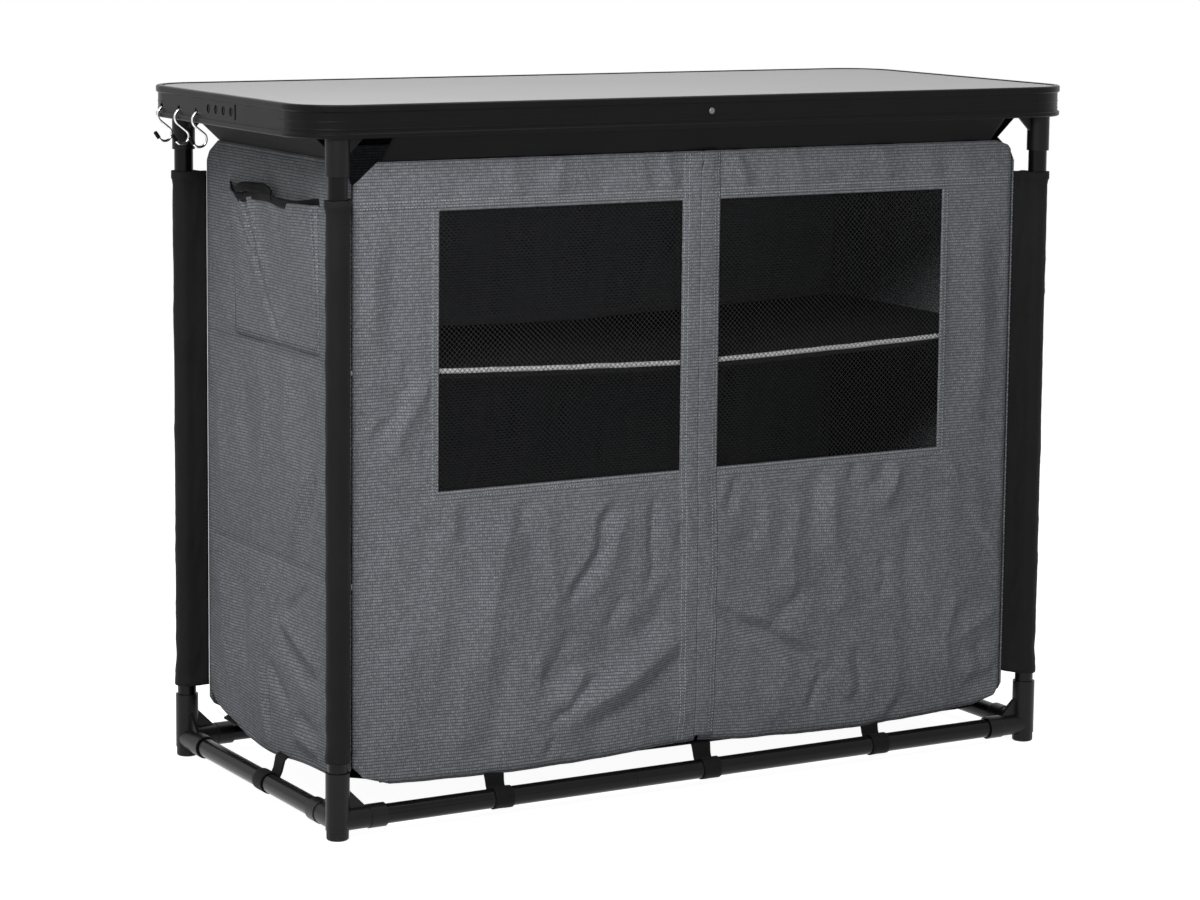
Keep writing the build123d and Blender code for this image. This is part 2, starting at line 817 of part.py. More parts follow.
def hem_section(side, edge, bottom):
    """The raised strip along the zip, in plan, from the leaf's face out to the slit."""
    face = -door_face
    raised = face - hem_proud
    with BuildSketch(Plane.XY.offset(bottom)) as section:
        with BuildLine():
            Polyline(
                (side * (hem_width + hem_lap), face),
                (side * (hem_width + hem_lap), face - hem_wall),
                (side * (hem_width - hem_lap / 2), raised),
                (side * edge, raised),
                (side * edge, raised + hem_wall),
                (side * (hem_width - hem_lap), raised + hem_wall),
                (side * hem_width, face),
                close=True,
            )
        make_face()
    return section.sketch


left_leaf = door_leaf(-1)
with BuildPart() as left_door:
    add(left_leaf)
    extrude(hem_section(-1, slit_left, cabinet_bottom), amount=door_top - cabinet_bottom)
    notch_low = slider_park_z - 2 * fit_gap
    with BuildSketch(Plane.XZ.offset(door_face)):
        with Locations((0, (notch_low + cabinet_top) / 2)):
            Rectangle(2 * (slider_half_width + door_gap), cabinet_top - notch_low)
    extrude(amount=cut_depth, both=True, mode=Mode.SUBTRACT)
save(left_door.part, "door_left_cloth")
save(door_leaf(1), "door_right_cloth")
with BuildPart() as zip_flap:
    extrude(hem_section(1, slit_right, flap_bottom), amount=flap_top - flap_bottom)
save(zip_flap.part, "zip_flap")

for name, side in (("left", -1), ("right", 1)):
    with BuildPart() as net:
        pitch_x = (window_width - net_strand) / net_columns
        pitch_z = (window_height - net_strand) / net_rows
        with BuildSketch(Plane.XZ.offset(door_back)):
            with Locations((side * window_middle_x, window_middle_z)):
                Rectangle(window_width + 2 * net_lap, window_height + 2 * net_lap)
                with GridLocations(pitch_x, pitch_z, net_columns, net_rows):
                    Rectangle(pitch_x - net_strand, pitch_z - net_strand, mode=Mode.SUBTRACT)
        extrude(amount=-net_wall)
    save(net.part, "door_" + name + "_net")

# Zip: a tape and a coil on each door, and a slider that runs on both
tape_middle = -door_back + net_wall + tape_wall / 2
coil_middle = tape_middle - fit_gap
coil_tops = {
    "left": slider_park_z + pull_lap - pull_length - 2 * fit_gap,
    "right": slider_park_z - 2 * fit_gap,
}
for name, side in (("left", -1), ("right", 1)):
    with BuildPart() as coil:
        with BuildSketch(Plane.XY.offset(tape_low)):
            with Locations((side * (tape_inner + tape_outer) / 2, tape_middle)):
                Rectangle(tape_outer - tape_inner, tape_wall)
            with Locations((side * (coil_inner + coil_outer) / 2, coil_middle)):
                RectangleRounded(coil_outer - coil_inner, coil_thickness, coil_round)
        extrude(amount=coil_tops[name] - tape_low)
    save(coil.part, "zip_coil_" + name)

with BuildPart() as slider:
    plate_gap = coil_thickness / 2 + fit_gap
    with BuildSketch(Plane.XY.offset(slider_park_z)):
        for way in (-1, 1):
            with Locations((0, coil_middle + way * (plate_gap + slider_plate / 2))):
                Rectangle(2 * slider_half_width, slider_plate)
        with Locations((0, coil_middle)):
            Rectangle(2 * (coil_inner - fit_gap), 2 * plate_gap + slider_plate)
    extrude(amount=slider_height)
    plate_edges = slider.edges().filter_by(Axis.Y).group_by(Axis.X)
    fillet(plate_edges[0] + plate_edges[-1], slider_round)
save(slider.part, "zip_slider")

with BuildPart() as pull:
    with BuildSketch(Plane.XZ.offset(plate_gap + slider_plate - coil_middle)):
        with Locations((0, slider_park_z + pull_lap - pull_length / 2)):
            RectangleRounded(2 * (slit_left - door_gap), pull_length, pull_round)
    extrude(amount=pull_wall)
save(pull.part, "zip_pull")

# Pocket on the left panel, with a bound mouth
with BuildPart() as pocket:
    face = -side_x
    with BuildSketch(Plane.XZ.offset(-pocket_back_y)):
        with BuildLine():
            Polyline(
                (face, pocket_bottom),
                (face - pocket_foot, pocket_bottom),
                (face - pocket_mouth, pocket_top),
                (face, pocket_top),
                close=True,
            )
        make_face()
    extrude(amount=pocket_back_y - pocket_front_y)
    with BuildSketch(Plane.XZ.offset(-pocket_back_y + cloth)):
        with BuildLine():
            Polyline(
                (face + cut_margin, pocket_bottom + cloth),
                (face - pocket_foot + cloth, pocket_bottom + cloth),
                (face - pocket_mouth + cloth, pocket_top),
                (face - pocket_mouth + cloth, pocket_top + cut_margin),
                (face + cut_margin, pocket_top + cut_margin),
                close=True,
            )
        make_face()
    extrude(amount=pocket_back_y - pocket_front_y - 2 * cloth, mode=Mode.SUBTRACT)
save(pocket.part, "side_pocket")

with BuildPart() as binding:
    lean = (pocket_mouth - pocket_foot) / (pocket_top - pocket_bottom)
    outer = -side_x - pocket_mouth - fit_gap / 3
    low = pocket_top - binding_height
    with BuildSketch(Plane.XZ.offset(-pocket_back_y - binding_tail)):
        with BuildLine():
            Polyline(
                (outer, pocket_top),
                (outer - binding_wall, pocket_top),
                (outer - binding_wall + lean * binding_height, low),
                (outer + lean * binding_height, low),
                close=True,
            )
        make_face()
    extrude(amount=pocket_back_y + binding_tail - pocket_front_y)
save(binding.part, "pocket_binding")


# S-hooks: bent wire through the rim's web and round its lower bead, with a rubber tip on the outer end
hook_top_x = -table_x / 2 - hook_wire - hook_clear + hook_top_bend
hook_loop_x = hook_top_x - hook_loop_shift
hook_loop_z = hook_top_z - hook_loop_drop
bend_centres = hypot(hook_loop_shift, hook_loop_drop)
hook_cross = degrees(asin((hook_top_bend + hook_loop_bend) / bend_centres))
hook_heading = hook_cross - degrees(atan2(hook_loop_shift, hook_loop_drop))
for i, y in enumerate(hook_places_y):
    with BuildPart() as hook:
        with BuildLine(Plane.XZ.offset(-y), mode=Mode.PRIVATE):
            top_turn = 180 + hook_heading + hook_inner_turn
            top = CenterArc((hook_top_x, hook_top_z), hook_top_bend, -hook_inner_turn, top_turn)
            loop = CenterArc((hook_loop_x, hook_loop_z), hook_loop_bend, hook_heading, -hook_loop_turn)
            shank = Line(top @ 1, loop @ 0)
        with BuildSketch(Plane(origin=top @ 0, z_dir=top % 0)):
            Circle(hook_wire)
        revolve(axis=Axis((hook_top_x, y, hook_top_z), (0, -1, 0)), revolution_arc=top_turn)
        with BuildSketch(Plane(origin=shank @ 0, z_dir=shank % 0)):
            Circle(hook_wire)
        extrude(amount=shank.length)
        with BuildSketch(Plane(origin=loop @ 0, z_dir=loop % 0)):
            Circle(hook_wire)
        revolve(axis=Axis((hook_loop_x, y, hook_loop_z), (0, 1, 0)), revolution_arc=hook_loop_turn)
    save(hook.part, "hook_" + str(i + 1))
    with BuildPart() as tip:
        with BuildSketch(Plane(origin=loop @ 1, z_dir=loop % 1)):
            Circle(tip_radius)
        extrude(amount=tip_length)
        fillet(tip.faces().sort_by(Axis.Z)[-1].edges(), tip_round)
    save(tip.part, "hook_tip_" + str(i + 1))
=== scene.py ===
import math

import bmesh
import bpy
from mathutils import Matrix, Vector, noise


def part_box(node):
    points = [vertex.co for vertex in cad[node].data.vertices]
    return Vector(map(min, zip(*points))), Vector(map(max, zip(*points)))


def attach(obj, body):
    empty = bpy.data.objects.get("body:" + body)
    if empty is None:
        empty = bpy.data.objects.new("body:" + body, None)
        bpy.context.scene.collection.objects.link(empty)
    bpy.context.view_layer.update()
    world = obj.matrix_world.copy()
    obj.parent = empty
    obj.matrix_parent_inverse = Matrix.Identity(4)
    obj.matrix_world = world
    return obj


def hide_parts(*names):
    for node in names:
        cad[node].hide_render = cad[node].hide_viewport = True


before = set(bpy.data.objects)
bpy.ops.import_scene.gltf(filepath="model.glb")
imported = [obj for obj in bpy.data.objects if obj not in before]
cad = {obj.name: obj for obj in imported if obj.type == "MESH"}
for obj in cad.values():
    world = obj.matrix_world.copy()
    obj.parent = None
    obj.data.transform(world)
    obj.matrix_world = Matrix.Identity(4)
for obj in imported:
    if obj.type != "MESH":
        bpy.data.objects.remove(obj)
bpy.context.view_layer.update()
mm = 0.001
print("frame:", len(cad), "nodes")


# helpers for meshes
def deselectAll():
    if bpy.context.object and bpy.context.object.mode != "OBJECT":
        bpy.ops.object.mode_set(mode="OBJECT")
    bpy.ops.object.select_all(action="DESELECT")


def makeActive(piece):
    deselectAll()
    piece.select_set(True)
    bpy.context.view_layer.objects.active = piece


def applyModifiers(piece):
    makeActive(piece)
    for modifier in list(piece.modifiers):
        bpy.ops.object.modifier_apply(modifier=modifier.name)


def pieceFrom(name, points, faces, flatPlaces=None):
    mesh = bpy.data.meshes.new(name)
    mesh.from_pydata(points, [], faces)
    if flatPlaces:
        layer = mesh.uv_layers.new(name="cloth")
        for loop in mesh.loops:
            layer.data[loop.index].uv = flatPlaces[loop.vertex_index]
    mesh.update()
    piece = bpy.data.objects.new(name, mesh)
    bpy.context.scene.collection.objects.link(piece)
    return piece


def stops(start, end, size, through=()):
    # evenly spaced places about size apart that also pass through the named ones
    marks = sorted({start, end, *[m for m in through if start < m < end]})
    places = [marks[0]]
    for low, high in zip(marks, marks[1:]):
        count = max(1, round((high - low) / size))
        places += [low + (high - low) * (i + 1) / count for i in range(count)]
    return places


def clothGrid(name, across, up, place, keep=None):
    # a sheet laid out flat in u and v, both in metres, and put in its place by place(u, v)
    index, points, flat, faces = {}, [], [], []

    def corner(i, j):
        if (i, j) not in index:
            index[i, j] = len(points)
            points.append(place(across[i], up[j]))
            flat.append((across[i], up[j]))
        return index[i, j]

    for i in range(len(across) - 1):
        for j in range(len(up) - 1):
            middle = (across[i] + across[i + 1]) / 2, (up[j] + up[j + 1]) / 2
            if keep is None or keep(*middle):
                faces.append((corner(i, j), corner(i + 1, j), corner(i + 1, j + 1), corner(i, j + 1)))
    return pieceFrom(name, points, faces, flat)


def cutAway(piece, point, outward):
    # trims the sheet along a straight line
    bm = bmesh.new()
    bm.from_mesh(piece.data)
    everything = bm.verts[:] + bm.edges[:] + bm.faces[:]
    bmesh.ops.bisect_plane(bm, geom=everything, dist=1e-7, plane_co=point, plane_no=outward, clear_outer=True)
    bm.to_mesh(piece.data)
    bm.free()


def thicken(piece, thickness, offset=-1, inside=1):
    wall = piece.modifiers.new("wall", "SOLIDIFY")
    wall.thickness = thickness
    wall.offset = offset
    wall.material_offset = inside
    wall.use_even_offset = False
    applyModifiers(piece)


def finishPiece(piece, body, materials, replaced=(), smooth=True):
    piece.data.materials.clear()
    for material in materials:
        piece.data.materials.append(material)
    for face in piece.data.polygons:
        face.use_smooth = smooth
    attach(piece, body)
    if replaced:
        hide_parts(*replaced)
    return piece


def smoothStep(x):
    x = min(1, max(0, x))
    return x * x * (3 - 2 * x)


def ripple(u, v, seed, wide, tall):
    # soft wrinkles, longer one way than the other
    return noise.noise(Vector((u / wide, v / tall, seed))) + 0.5 * noise.noise(
        Vector((2.1 * u / wide, 2.1 * v / tall, seed + 7))
    )


def crumple(u, v, seed):
    # thin sharp creases that wander, from noise folded at its zero line
    warp = 18 * mm * noise.noise(Vector((u / (80 * mm), v / (80 * mm), seed)))
    x, y = (u + 0.45 * v + warp) / (46 * mm), (v - 0.3 * u - warp) / (120 * mm)
    total = 0
    for k in (1, 2.3):
        n = abs(noise.noise(Vector((k * x, k * y, seed + 11 * k))))
        total += (math.exp(-n * 14) - 0.3) / k
    return total


def foldLift(u, v, folds):
    # each fold is a ridge, or a valley where its height is negative, along its points
    lift = 0
    for width, height, points, whole, (uLow, uHigh, vLow, vHigh) in folds:
        if not (uLow < u < uHigh and vLow < v < vHigh):
            continue
        nearest, place, run = 1.0, 0, 0
        for (u1, v1), (u2, v2) in zip(points, points[1:]):
            length = math.hypot(u2 - u1, v2 - v1)
            along = ((u - u1) * (u2 - u1) + (v - v1) * (v2 - v1)) / length**2
            held = min(1, max(0, along))
            away = math.hypot(u - u1 - held * (u2 - u1), v - v1 - held * (v2 - v1))
            if away < abs(nearest):
                side = (u - u1) * (v2 - v1) - (v - v1) * (u2 - u1)
                nearest, place = math.copysign(away, side), (run + held * length) / whole
            run += length
        fade = smoothStep(place / 0.25 + 0.05) * smoothStep((1 - place) / 0.25 + 0.05)
        x = nearest / width
        crest = math.exp(-1.3 * abs(x) ** 1.4)
        lift += height * fade * (crest - 0.35 * math.exp(-((x - 2) ** 2)) - 0.2 * math.exp(-((x + 2.2) ** 2)))
    return lift


def inMetres(folds, wider=1.0, deeper=1.0):
    # adds each fold's length and the box beyond which it changes nothing
    scaled = []
    for width, height, points in folds:
        width, height = width * wider, height * deeper
        points = [(u * mm, v * mm) for u, v in points]
        whole = sum(math.dist(a, b) for a, b in zip(points, points[1:]))
        us, vs, reach = [u for u, v in points], [v for u, v in points], 4 * width * mm
        box = (min(us) - reach, max(us) + reach, min(vs) - reach, max(vs) + reach)
        scaled.append((width * mm, height * mm, points, whole, box))
    return scaled


# camera and light
cameraSet = {
    "place": (-2.021, -3.442, 1.030),
    "yaw": 30.17,
    "pitch": 7.45,
    "roll": 0.56,
    "lens": 101.5,
    "shiftUp": -0.10,
}


def addCamera(s):
    yaw, pitch, roll = (math.radians(s[k]) for k in ("yaw", "pitch", "roll"))
    right = Vector((math.cos(yaw), -math.sin(yaw), 0))
    ahead = Vector((math.sin(yaw) * math.cos(pitch), math.cos(yaw) * math.cos(pitch), -math.sin(pitch)))
    up = right.cross(ahead)
    rolledRight = math.cos(roll) * right + math.sin(roll) * up
    rolledUp = -math.sin(roll) * right + math.cos(roll) * up
    data = bpy.data.cameras.new("camera")
    data.sensor_width = 36
    data.lens = s["lens"]
    data.shift_y = s["shiftUp"]
    data.clip_end = 50
    camera = bpy.data.objects.new("camera", data)
    turn = Matrix((rolledRight, rolledUp, -ahead)).transposed().to_4x4()
    camera.matrix_world = Matrix.Translation(s["place"]) @ turn
    bpy.context.scene.collection.objects.link(camera)
    bpy.context.scene.camera = camera


addCamera(cameraSet)

lampSet = {
    "key": {"place": (-1.25, -1.35, 1.75), "aim": (-0.1, -0.1, 0.45), "size": (0.8, 0.8), "power": 30},
    "front": {"place": (0.9, -3.2, 1.7), "aim": (0.1, 0, 0.4), "size": (1.4, 1.2), "power": 2},
    "top": {"place": (0.5, 0.3, 2.9), "aim": (0.1, 0, 0.8), "size": (2.0, 1.6), "power": 24},
    "side": {"place": (-2.8, 0.4, 1.5), "aim": (-0.4, 0, 0.5), "size": (1.0, 1.6), "power": 6},
}
studioSet = {
    "worldLight": 0.14,
    "floorSize": 7,
    "floorLevel": -0.5 * mm,
    "floorShade": 0.72,
    "floorRoughness": 0.9,
    "floorGlow": 0.95,
}


def addLamp(name, s):
    data = bpy.data.lights.new(name, "AREA")
    data.shape = "RECTANGLE"
    data.size, data.size_y = s["size"]
    data.energy = s["power"]
    lamp = bpy.data.objects.new(name, data)
    way = Vector(s["aim"]) - Vector(s["place"])
    lamp.matrix_world = Matrix.Translation(s["place"]) @ way.to_track_quat("-Z", "Y").to_matrix().to_4x4()
    bpy.context.scene.collection.objects.link(lamp)


for lampName, s in lampSet.items():
    addLamp(lampName, s)

bpy.context.scene.view_settings.view_transform = "Standard"


def whiteForCamera(nodes, links, seen):
    # 1 for a camera ray and for the kinds of ray that are named, else 0
    path = nodes.new("ShaderNodeLightPath")
    total = path.outputs["Is Camera Ray"]
    for name in seen:
        add = nodes.new("ShaderNodeMath")
        add.operation = "MAXIMUM"
        links.new(total, add.inputs[0])
        links.new(path.outputs[name], add.inputs[1])
        total = add.outputs[0]
    return total


def addWorld(strength):
    world = bpy.data.worlds.new("studio")
    bpy.context.scene.world = world
    world.use_nodes = True
    nodes, links = world.node_tree.nodes, world.node_tree.links
    back = nodes["Background"]
    back.inputs["Color"].default_value = (1, 1, 1, 1)
    back.inputs["Strength"].default_value = strength
    white = nodes.new("ShaderNodeBackground")
    mix = nodes.new("ShaderNodeMixShader")
    seen = whiteForCamera(nodes, links, ["Is Glossy Ray", "Is Transmission Ray"])
    links.new(seen, mix.inputs[0])
    links.new(back.outputs[0], mix.inputs[1])
    links.new(white.outputs[0], mix.inputs[2])
    links.new(mix.outputs[0], nodes["World Output"].inputs["Surface"])
    white.inputs["Color"].default_value = (1, 1, 1, 1)


addWorld(studioSet["worldLight"])


def addFloor(s):
    deselectAll()
    bpy.ops.mesh.primitive_plane_add(size=s["floorSize"], location=(0, 0, s["floorLevel"]))
    floor = bpy.context.object
    floor.name = "studio_floor"
    material = bpy.data.materials.new("studioFloor")
    material.use_nodes = True
    nodes, links = material.node_tree.nodes, material.node_tree.links
    shader = nodes["Principled BSDF"]
    shader.inputs["Base Color"].default_value = (*[s["floorShade"]] * 3, 1)
    shader.inputs["Roughness"].default_value = s["floorRoughness"]
    shader.inputs["Specular IOR Level"].default_value = 0
    glow = nodes.new("ShaderNodeEmission")
    glow.inputs["Strength"].default_value = s["floorGlow"]
    none = nodes.new("ShaderNodeEmission")
    none.inputs["Strength"].default_value = 0
    pick = nodes.new("ShaderNodeMixShader")
    add = nodes.new("ShaderNodeAddShader")
    links.new(whiteForCamera(nodes, links, ["Is Glossy Ray", "Is Transmission Ray"]), pick.inputs[0])
    links.new(none.outputs[0], pick.inputs[1])
    links.new(glow.outputs[0], pick.inputs[2])
    links.new(shader.outputs[0], add.inputs[0])
    links.new(pick.outputs[0], add.inputs[1])
    links.new(add.outputs[0], nodes["Material Output"].inputs["Surface"])
    floor.data.materials.append(material)


addFloor(studioSet)
print("camera and light ready")


# materials
class Recipe:
    # short calls for the nodes that the finishes below share
    def __init__(self, name, roughness, specular=0.5, metallic=0.0):
        self.material = bpy.data.materials.new(name)
        self.material.use_nodes = True
        self.nodes = self.material.node_tree.nodes
        self.links = self.material.node_tree.links
        self.shader = self.nodes["Principled BSDF"]
        self.shader.inputs["Roughness"].default_value = roughness
        self.shader.inputs["Specular IOR Level"].default_value = specular
        self.shader.inputs["Metallic"].default_value = metallic

    def add(self, kind, **settings):
        node = self.nodes.new(kind)
        for key, value in settings.items():
            if key in node.inputs:
                node.inputs[key].default_value = value
            else:
                setattr(node, key, value)
        return node

    def join(self, source, target):
        self.links.new(source, target)

    def place(self, scale, uv=None):
        mapping = self.add("ShaderNodeMapping")
        mapping.inputs["Scale"].default_value = scale
        if uv:
            source = self.add("ShaderNodeUVMap", uv_map=uv).outputs["UV"]
        else:
            source = self.add("ShaderNodeTexCoord").outputs["Object"]
        self.join(source, mapping.inputs["Vector"])
        return mapping.outputs["Vector"]

    def noise(self, where, scale, detail=3.0, rough=0.6):
        node = self.add("ShaderNodeTexNoise", Scale=scale, Detail=detail, Roughness=rough)
        self.join(where, node.inputs["Vector"])
        return node.outputs["Fac"]

    def brick(self, where, light, dark, gap, mortar):
        node = self.add("ShaderNodeTexBrick", offset=0.5)
        sizes = {
            "Scale": 1.0,
            "Brick Width": 1.0,
            "Row Height": 0.5,
            "Mortar Size": mortar,
            "Mortar Smooth": 0.9,
        }
        for key, value in sizes.items():
            node.inputs[key].default_value = value
        for key, colour in (("Color1", light), ("Color2", dark), ("Mortar", gap)):
            node.inputs[key].default_value = (*tinted(*colour), 1)
        self.join(where, node.inputs["Vector"])
        return node

    def ramp(self, fac, stopsAndColours):
        node = self.add("ShaderNodeValToRGB")
        elements = node.color_ramp.elements
        while len(elements) < len(stopsAndColours):
            elements.new(0.5)
        for element, (place, colour) in zip(elements, stopsAndColours):
            element.position = place
            element.color = (*colour, 1)
        self.join(fac, node.inputs["Fac"])
        return node.outputs["Color"]

    def mix(self, fac, a, b, blend="MIX"):
        node = self.add("ShaderNodeMix", data_type="RGBA", blend_type=blend)
        for value, socket in ((fac, node.inputs[0]), (a, node.inputs[6]), (b, node.inputs[7])):
            if isinstance(value, bpy.types.NodeSocket):
                self.join(value, socket)
            else:
                socket.default_value = value if isinstance(value, float) else (*value, 1)
        return node.outputs[2]

    def maths(self, operation, a, b=0.0):
        node = self.add("ShaderNodeMath", operation=operation)
        for value, socket in ((a, node.inputs[0]), (b, node.inputs[1])):
            if isinstance(value, bpy.types.NodeSocket):
                self.join(value, socket)
            else:
                socket.default_value = value
        return node.outputs[0]

    def bump(self, height, distance, strength=1.0, normal=None):
        node = self.add("ShaderNodeBump", Strength=strength, Distance=distance)
        self.join(height, node.inputs["Height"])
        if normal:
            self.join(normal, node.inputs["Normal"])
        self.join(node.outputs["Normal"], self.shader.inputs["Normal"])
        return node.outputs["Normal"]

    def roundedEdges(self, radius):
        return self.add("ShaderNodeBevel", samples=4, Radius=radius).outputs["Normal"]

    def colour(self, source):
        if isinstance(source, bpy.types.NodeSocket):
            self.join(source, self.shader.inputs["Base Color"])
        else:
            self.shader.inputs["Base Color"].default_value = (*source, 1)


def grey(level):
    # a neutral colour from its screen value, 0 to 255
    x = level / 255
    linear = x / 12.92 if x <= 0.04045 else ((x + 0.055) / 1.055) ** 2.4
    return (linear, linear, linear)


def tinted(r, g, b):
    return tuple(grey(value)[0] for value in (r, g, b))


def shades(low, high, start=0.3, end=0.7):
    # the two ends of a ramp between two greys
    return [(start, grey(low)), (end, grey(high))]


clothSet = {
    "roughness": 0.88,
    "specular": 0.1,
    "sheen": 0.06,
    "relief": 0.2 * mm,
    "yarnAcross": 2.7 * mm,
    "twoRows": 6.8 * mm,
    "light": (168, 171, 177),
    "dark": (139, 142, 147),
    "gap": (108, 110, 115),
    "flecks": (96, 186),
    "clouds": (160, 204),
    # rowShade: the greys of the painted shade between the rows
    "rowShade": (238, 255),
    "rowBands": 0.6283,
    "warpShade": (230, 255),
    "warpBands": 0.3142,
}


def mixCanvas(name, s):
    # heather yarns laid as bricks, each row a low rib with painted shade along its edges, crossed by the
    # warp's faint lines
    r = Recipe(name, s["roughness"], s["specular"])
    r.shader.inputs["Sheen Weight"].default_value = s["sheen"]
    r.shader.inputs["Sheen Roughness"].default_value = 0.5
    flat = r.place((1 / s["yarnAcross"], 1 / s["twoRows"], 1), "cloth")
    weave = r.brick(flat, s["light"], s["dark"], s["gap"], 0.12)
    rib = r.add("ShaderNodeTexWave", bands_direction="Y", Scale=s["rowBands"])
    r.join(flat, rib.inputs["Vector"])
    metres = r.place((1, 1, 1), "cloth")
    fleck = r.noise(metres, 520, 2.0)
    cloudy = r.noise(metres, 7, 4.0)
    heather = r.mix(0.5, weave.outputs["Color"], r.ramp(fleck, shades(*s["flecks"])), "OVERLAY")
    warp = r.add("ShaderNodeTexWave", bands_direction="X", Scale=s["warpBands"])
    r.join(flat, warp.inputs["Vector"])
    # painted shade: the row ramp darkens each rib towards its edges
    ribbed = r.mix(1.0, heather, r.ramp(rib.outputs["Fac"], shades(*s["rowShade"], 0.1)), "MULTIPLY")
    ribbed = r.mix(1.0, ribbed, r.ramp(warp.outputs["Fac"], shades(*s["warpShade"], 0.1)), "MULTIPLY")
    r.colour(r.mix(0.45, ribbed, r.ramp(cloudy, shades(*s["clouds"])), "SOFT_LIGHT"))
    height = r.maths("SUBTRACT", r.maths("MULTIPLY", rib.outputs["Fac"], 0.6), weave.outputs["Fac"])
    r.bump(height, s["relief"], 0.8)
    return r.material


canvas = mixCanvas("greyCanvas", clothSet)


def mixBlackCloth(name, level, pitch, sheen, roughness, specular=0.12, uv="cloth"):
    # plain black weave: fine bricks, faint patches of wear
    r = Recipe(name, roughness, specular)
    r.shader.inputs["Sheen Weight"].default_value = sheen
    low, high = level - 5, level + 8
    weave = r.brick(r.place((1 / pitch,) * 3, uv), (high,) * 3, (level,) * 3, (low,) * 3, 0.1)
    cloudy = r.noise(r.place((1, 1, 1), uv), 9, 4.0)
    r.colour(r.mix(0.5, weave.outputs["Color"], r.ramp(cloudy, shades(low, high))))
    r.bump(r.maths("SUBTRACT", r.maths("MULTIPLY", cloudy, 0.3), weave.outputs["Fac"]), 0.0001, 0.7)
    return r.material


blackCloth = mixBlackCloth("blackCloth", 20, 1.3 * mm, 0.01, 0.6, 0.1)
liningCloth = mixBlackCloth("coatedLining", 6, 1.6 * mm, 0.0, 0.5, 0.03)
sleeveCloth = mixBlackCloth("sleeveCloth", 30, 1.2 * mm, 0.02, 0.65, 0.08)
webbingCloth = mixBlackCloth("webbing", 17, 1.8 * mm, 0.02, 0.6, 0.08)
bindingCloth = mixBlackCloth("bindingCloth", 13, 1.1 * mm, 0.01, 0.6, 0.06)
rolledBinding = mixBlackCloth("rolledBinding", 13, 1.1 * mm, 0.01, 0.6, 0.06, None)


def mixNet(name):
    r = Recipe(name, 0.6, 0.03)
    metres = r.place((1, 1, 1), "cloth")
    fleck = r.noise(metres, 900, 2.0)
    r.colour(r.ramp(fleck, shades(34, 62)))
    r.bump(fleck, 0.0001, 0.6)
    return r.material


netYarn = mixNet("netYarn")


def mixCoated(name, level, roughness, grain, edge=0.0005, edgeWearAndHighlight=0, specular=0.5):
    # painted metal or moulded plastic: fine grain, soft edges that are a little lighter as worn paint and as
    # a painted highlight, faint patches
    r = Recipe(name, roughness, specular)
    where = r.place((1, 1, 1))
    fine = r.noise(where, grain, 3.0)
    patches = r.noise(where, 18, 4.0)
    base = r.ramp(patches, shades(level - 3, level + 3))
    rounded = r.roundedEdges(edge)
    if edgeWearAndHighlight:
        flatNormal = r.add("ShaderNodeNewGeometry").outputs["Normal"]
        dot = r.add("ShaderNodeVectorMath", operation="DOT_PRODUCT")
        r.join(rounded, dot.inputs[0])
        r.join(flatNormal, dot.inputs[1])
        edges = r.maths("MULTIPLY", r.maths("SUBTRACT", 1.0, dot.outputs["Value"]), 3.0)
        edges = r.maths("MINIMUM", edges, 1.0)
        # the edges are lightened: partly paint wear, partly a painted highlight along each edge
        base = r.mix(edges, base, grey(level + edgeWearAndHighlight))
    r.colour(base)
    rough = r.add("ShaderNodeMapRange")
    rough.inputs["To Min"].default_value = roughness - 0.06
    rough.inputs["To Max"].default_value = roughness + 0.08
    r.join(patches, rough.inputs["Value"])
    r.join(rough.outputs["Result"], r.shader.inputs["Roughness"])
    r.bump(fine, 0.00004, 0.5, rounded)
    return r.material


# the sixth value lightens the edges, as paint wear and as a painted highlight
rimPaint = mixCoated("rimPaint", 9, 0.34, 1600, 0.0006, 34, 0.12)
tubePaint = mixCoated("tubePaint", 8, 0.22, 1800, 0.0004, 14, 0.16)
plastic = mixCoated("blackPlastic", 16, 0.36, 900, 0.0008, 16, 0.18)
bareMetal = mixCoated("bareMetal", 120, 0.35, 700, 0.0004, 30)
rubber = mixCoated("hookRubber", 12, 0.6, 1200, 0.0006, 8, 0.1)
zipPlastic = mixCoated("zipPlastic", 14, 0.5, 2500, 0.0003, 0, 0.12)
zipMetal = mixCoated("zipMetal", 30, 0.35, 900, 0.0004, 20, 0.3)


def mixBoard():
    r = Recipe("boardLaminate", 0.6, 0.06)
    where = r.place((1, 1, 1))
    fine = r.noise(where, 1400, 2.0)
    patches = r.noise(where, 6, 3.0)
    speck = r.ramp(fine, shades(178, 188, 0.35, 0.65))
    r.colour(r.mix(0.3, speck, r.ramp(patches, shades(179, 187))))
    r.bump(fine, 0.00003, 0.4, r.roundedEdges(0.0006))
    return r.material


boardLaminate = mixBoard()


def mixChrome():
    r = Recipe("hookChrome", 0.12, 0.5, 1.0)
    where = r.place((1, 1, 1))
    smear = r.noise(where, 260, 3.0)
    r.colour(r.ramp(smear, shades(196, 226)))
    r.bump(smear, 0.00002, 0.3)
    return r.material


chrome = mixChrome()


def mixPiping():
    r = Recipe("palePiping", 0.6, 0.3)
    r.shader.inputs["Sheen Weight"].default_value = 0.1
    where = r.place((900, 900, 900))
    braid = r.add("ShaderNodeTexWave", bands_direction="DIAGONAL", Scale=0.55, Distortion=1.2)
    r.join(where, braid.inputs["Vector"])
    r.colour(r.ramp(braid.outputs["Fac"], shades(222, 250, 0.15, 0.6)))
    r.bump(braid.outputs["Fac"], 0.0002, 0.6)
    return r.material


pipingCord = mixPiping()


def mixThread(name, roughness, low, high):
    r = Recipe(name, roughness, 0.3)
    fine = r.noise(r.place((1, 1, 1)), 2500, 2.0)
    r.colour(r.ramp(fine, shades(low, high)))
    r.bump(fine, 0.00005, 0.5)
    return r.material


thread = mixThread("paleThread", 0.6, 170, 212)
darkThread = mixThread("darkThread", 0.7, 20, 42)

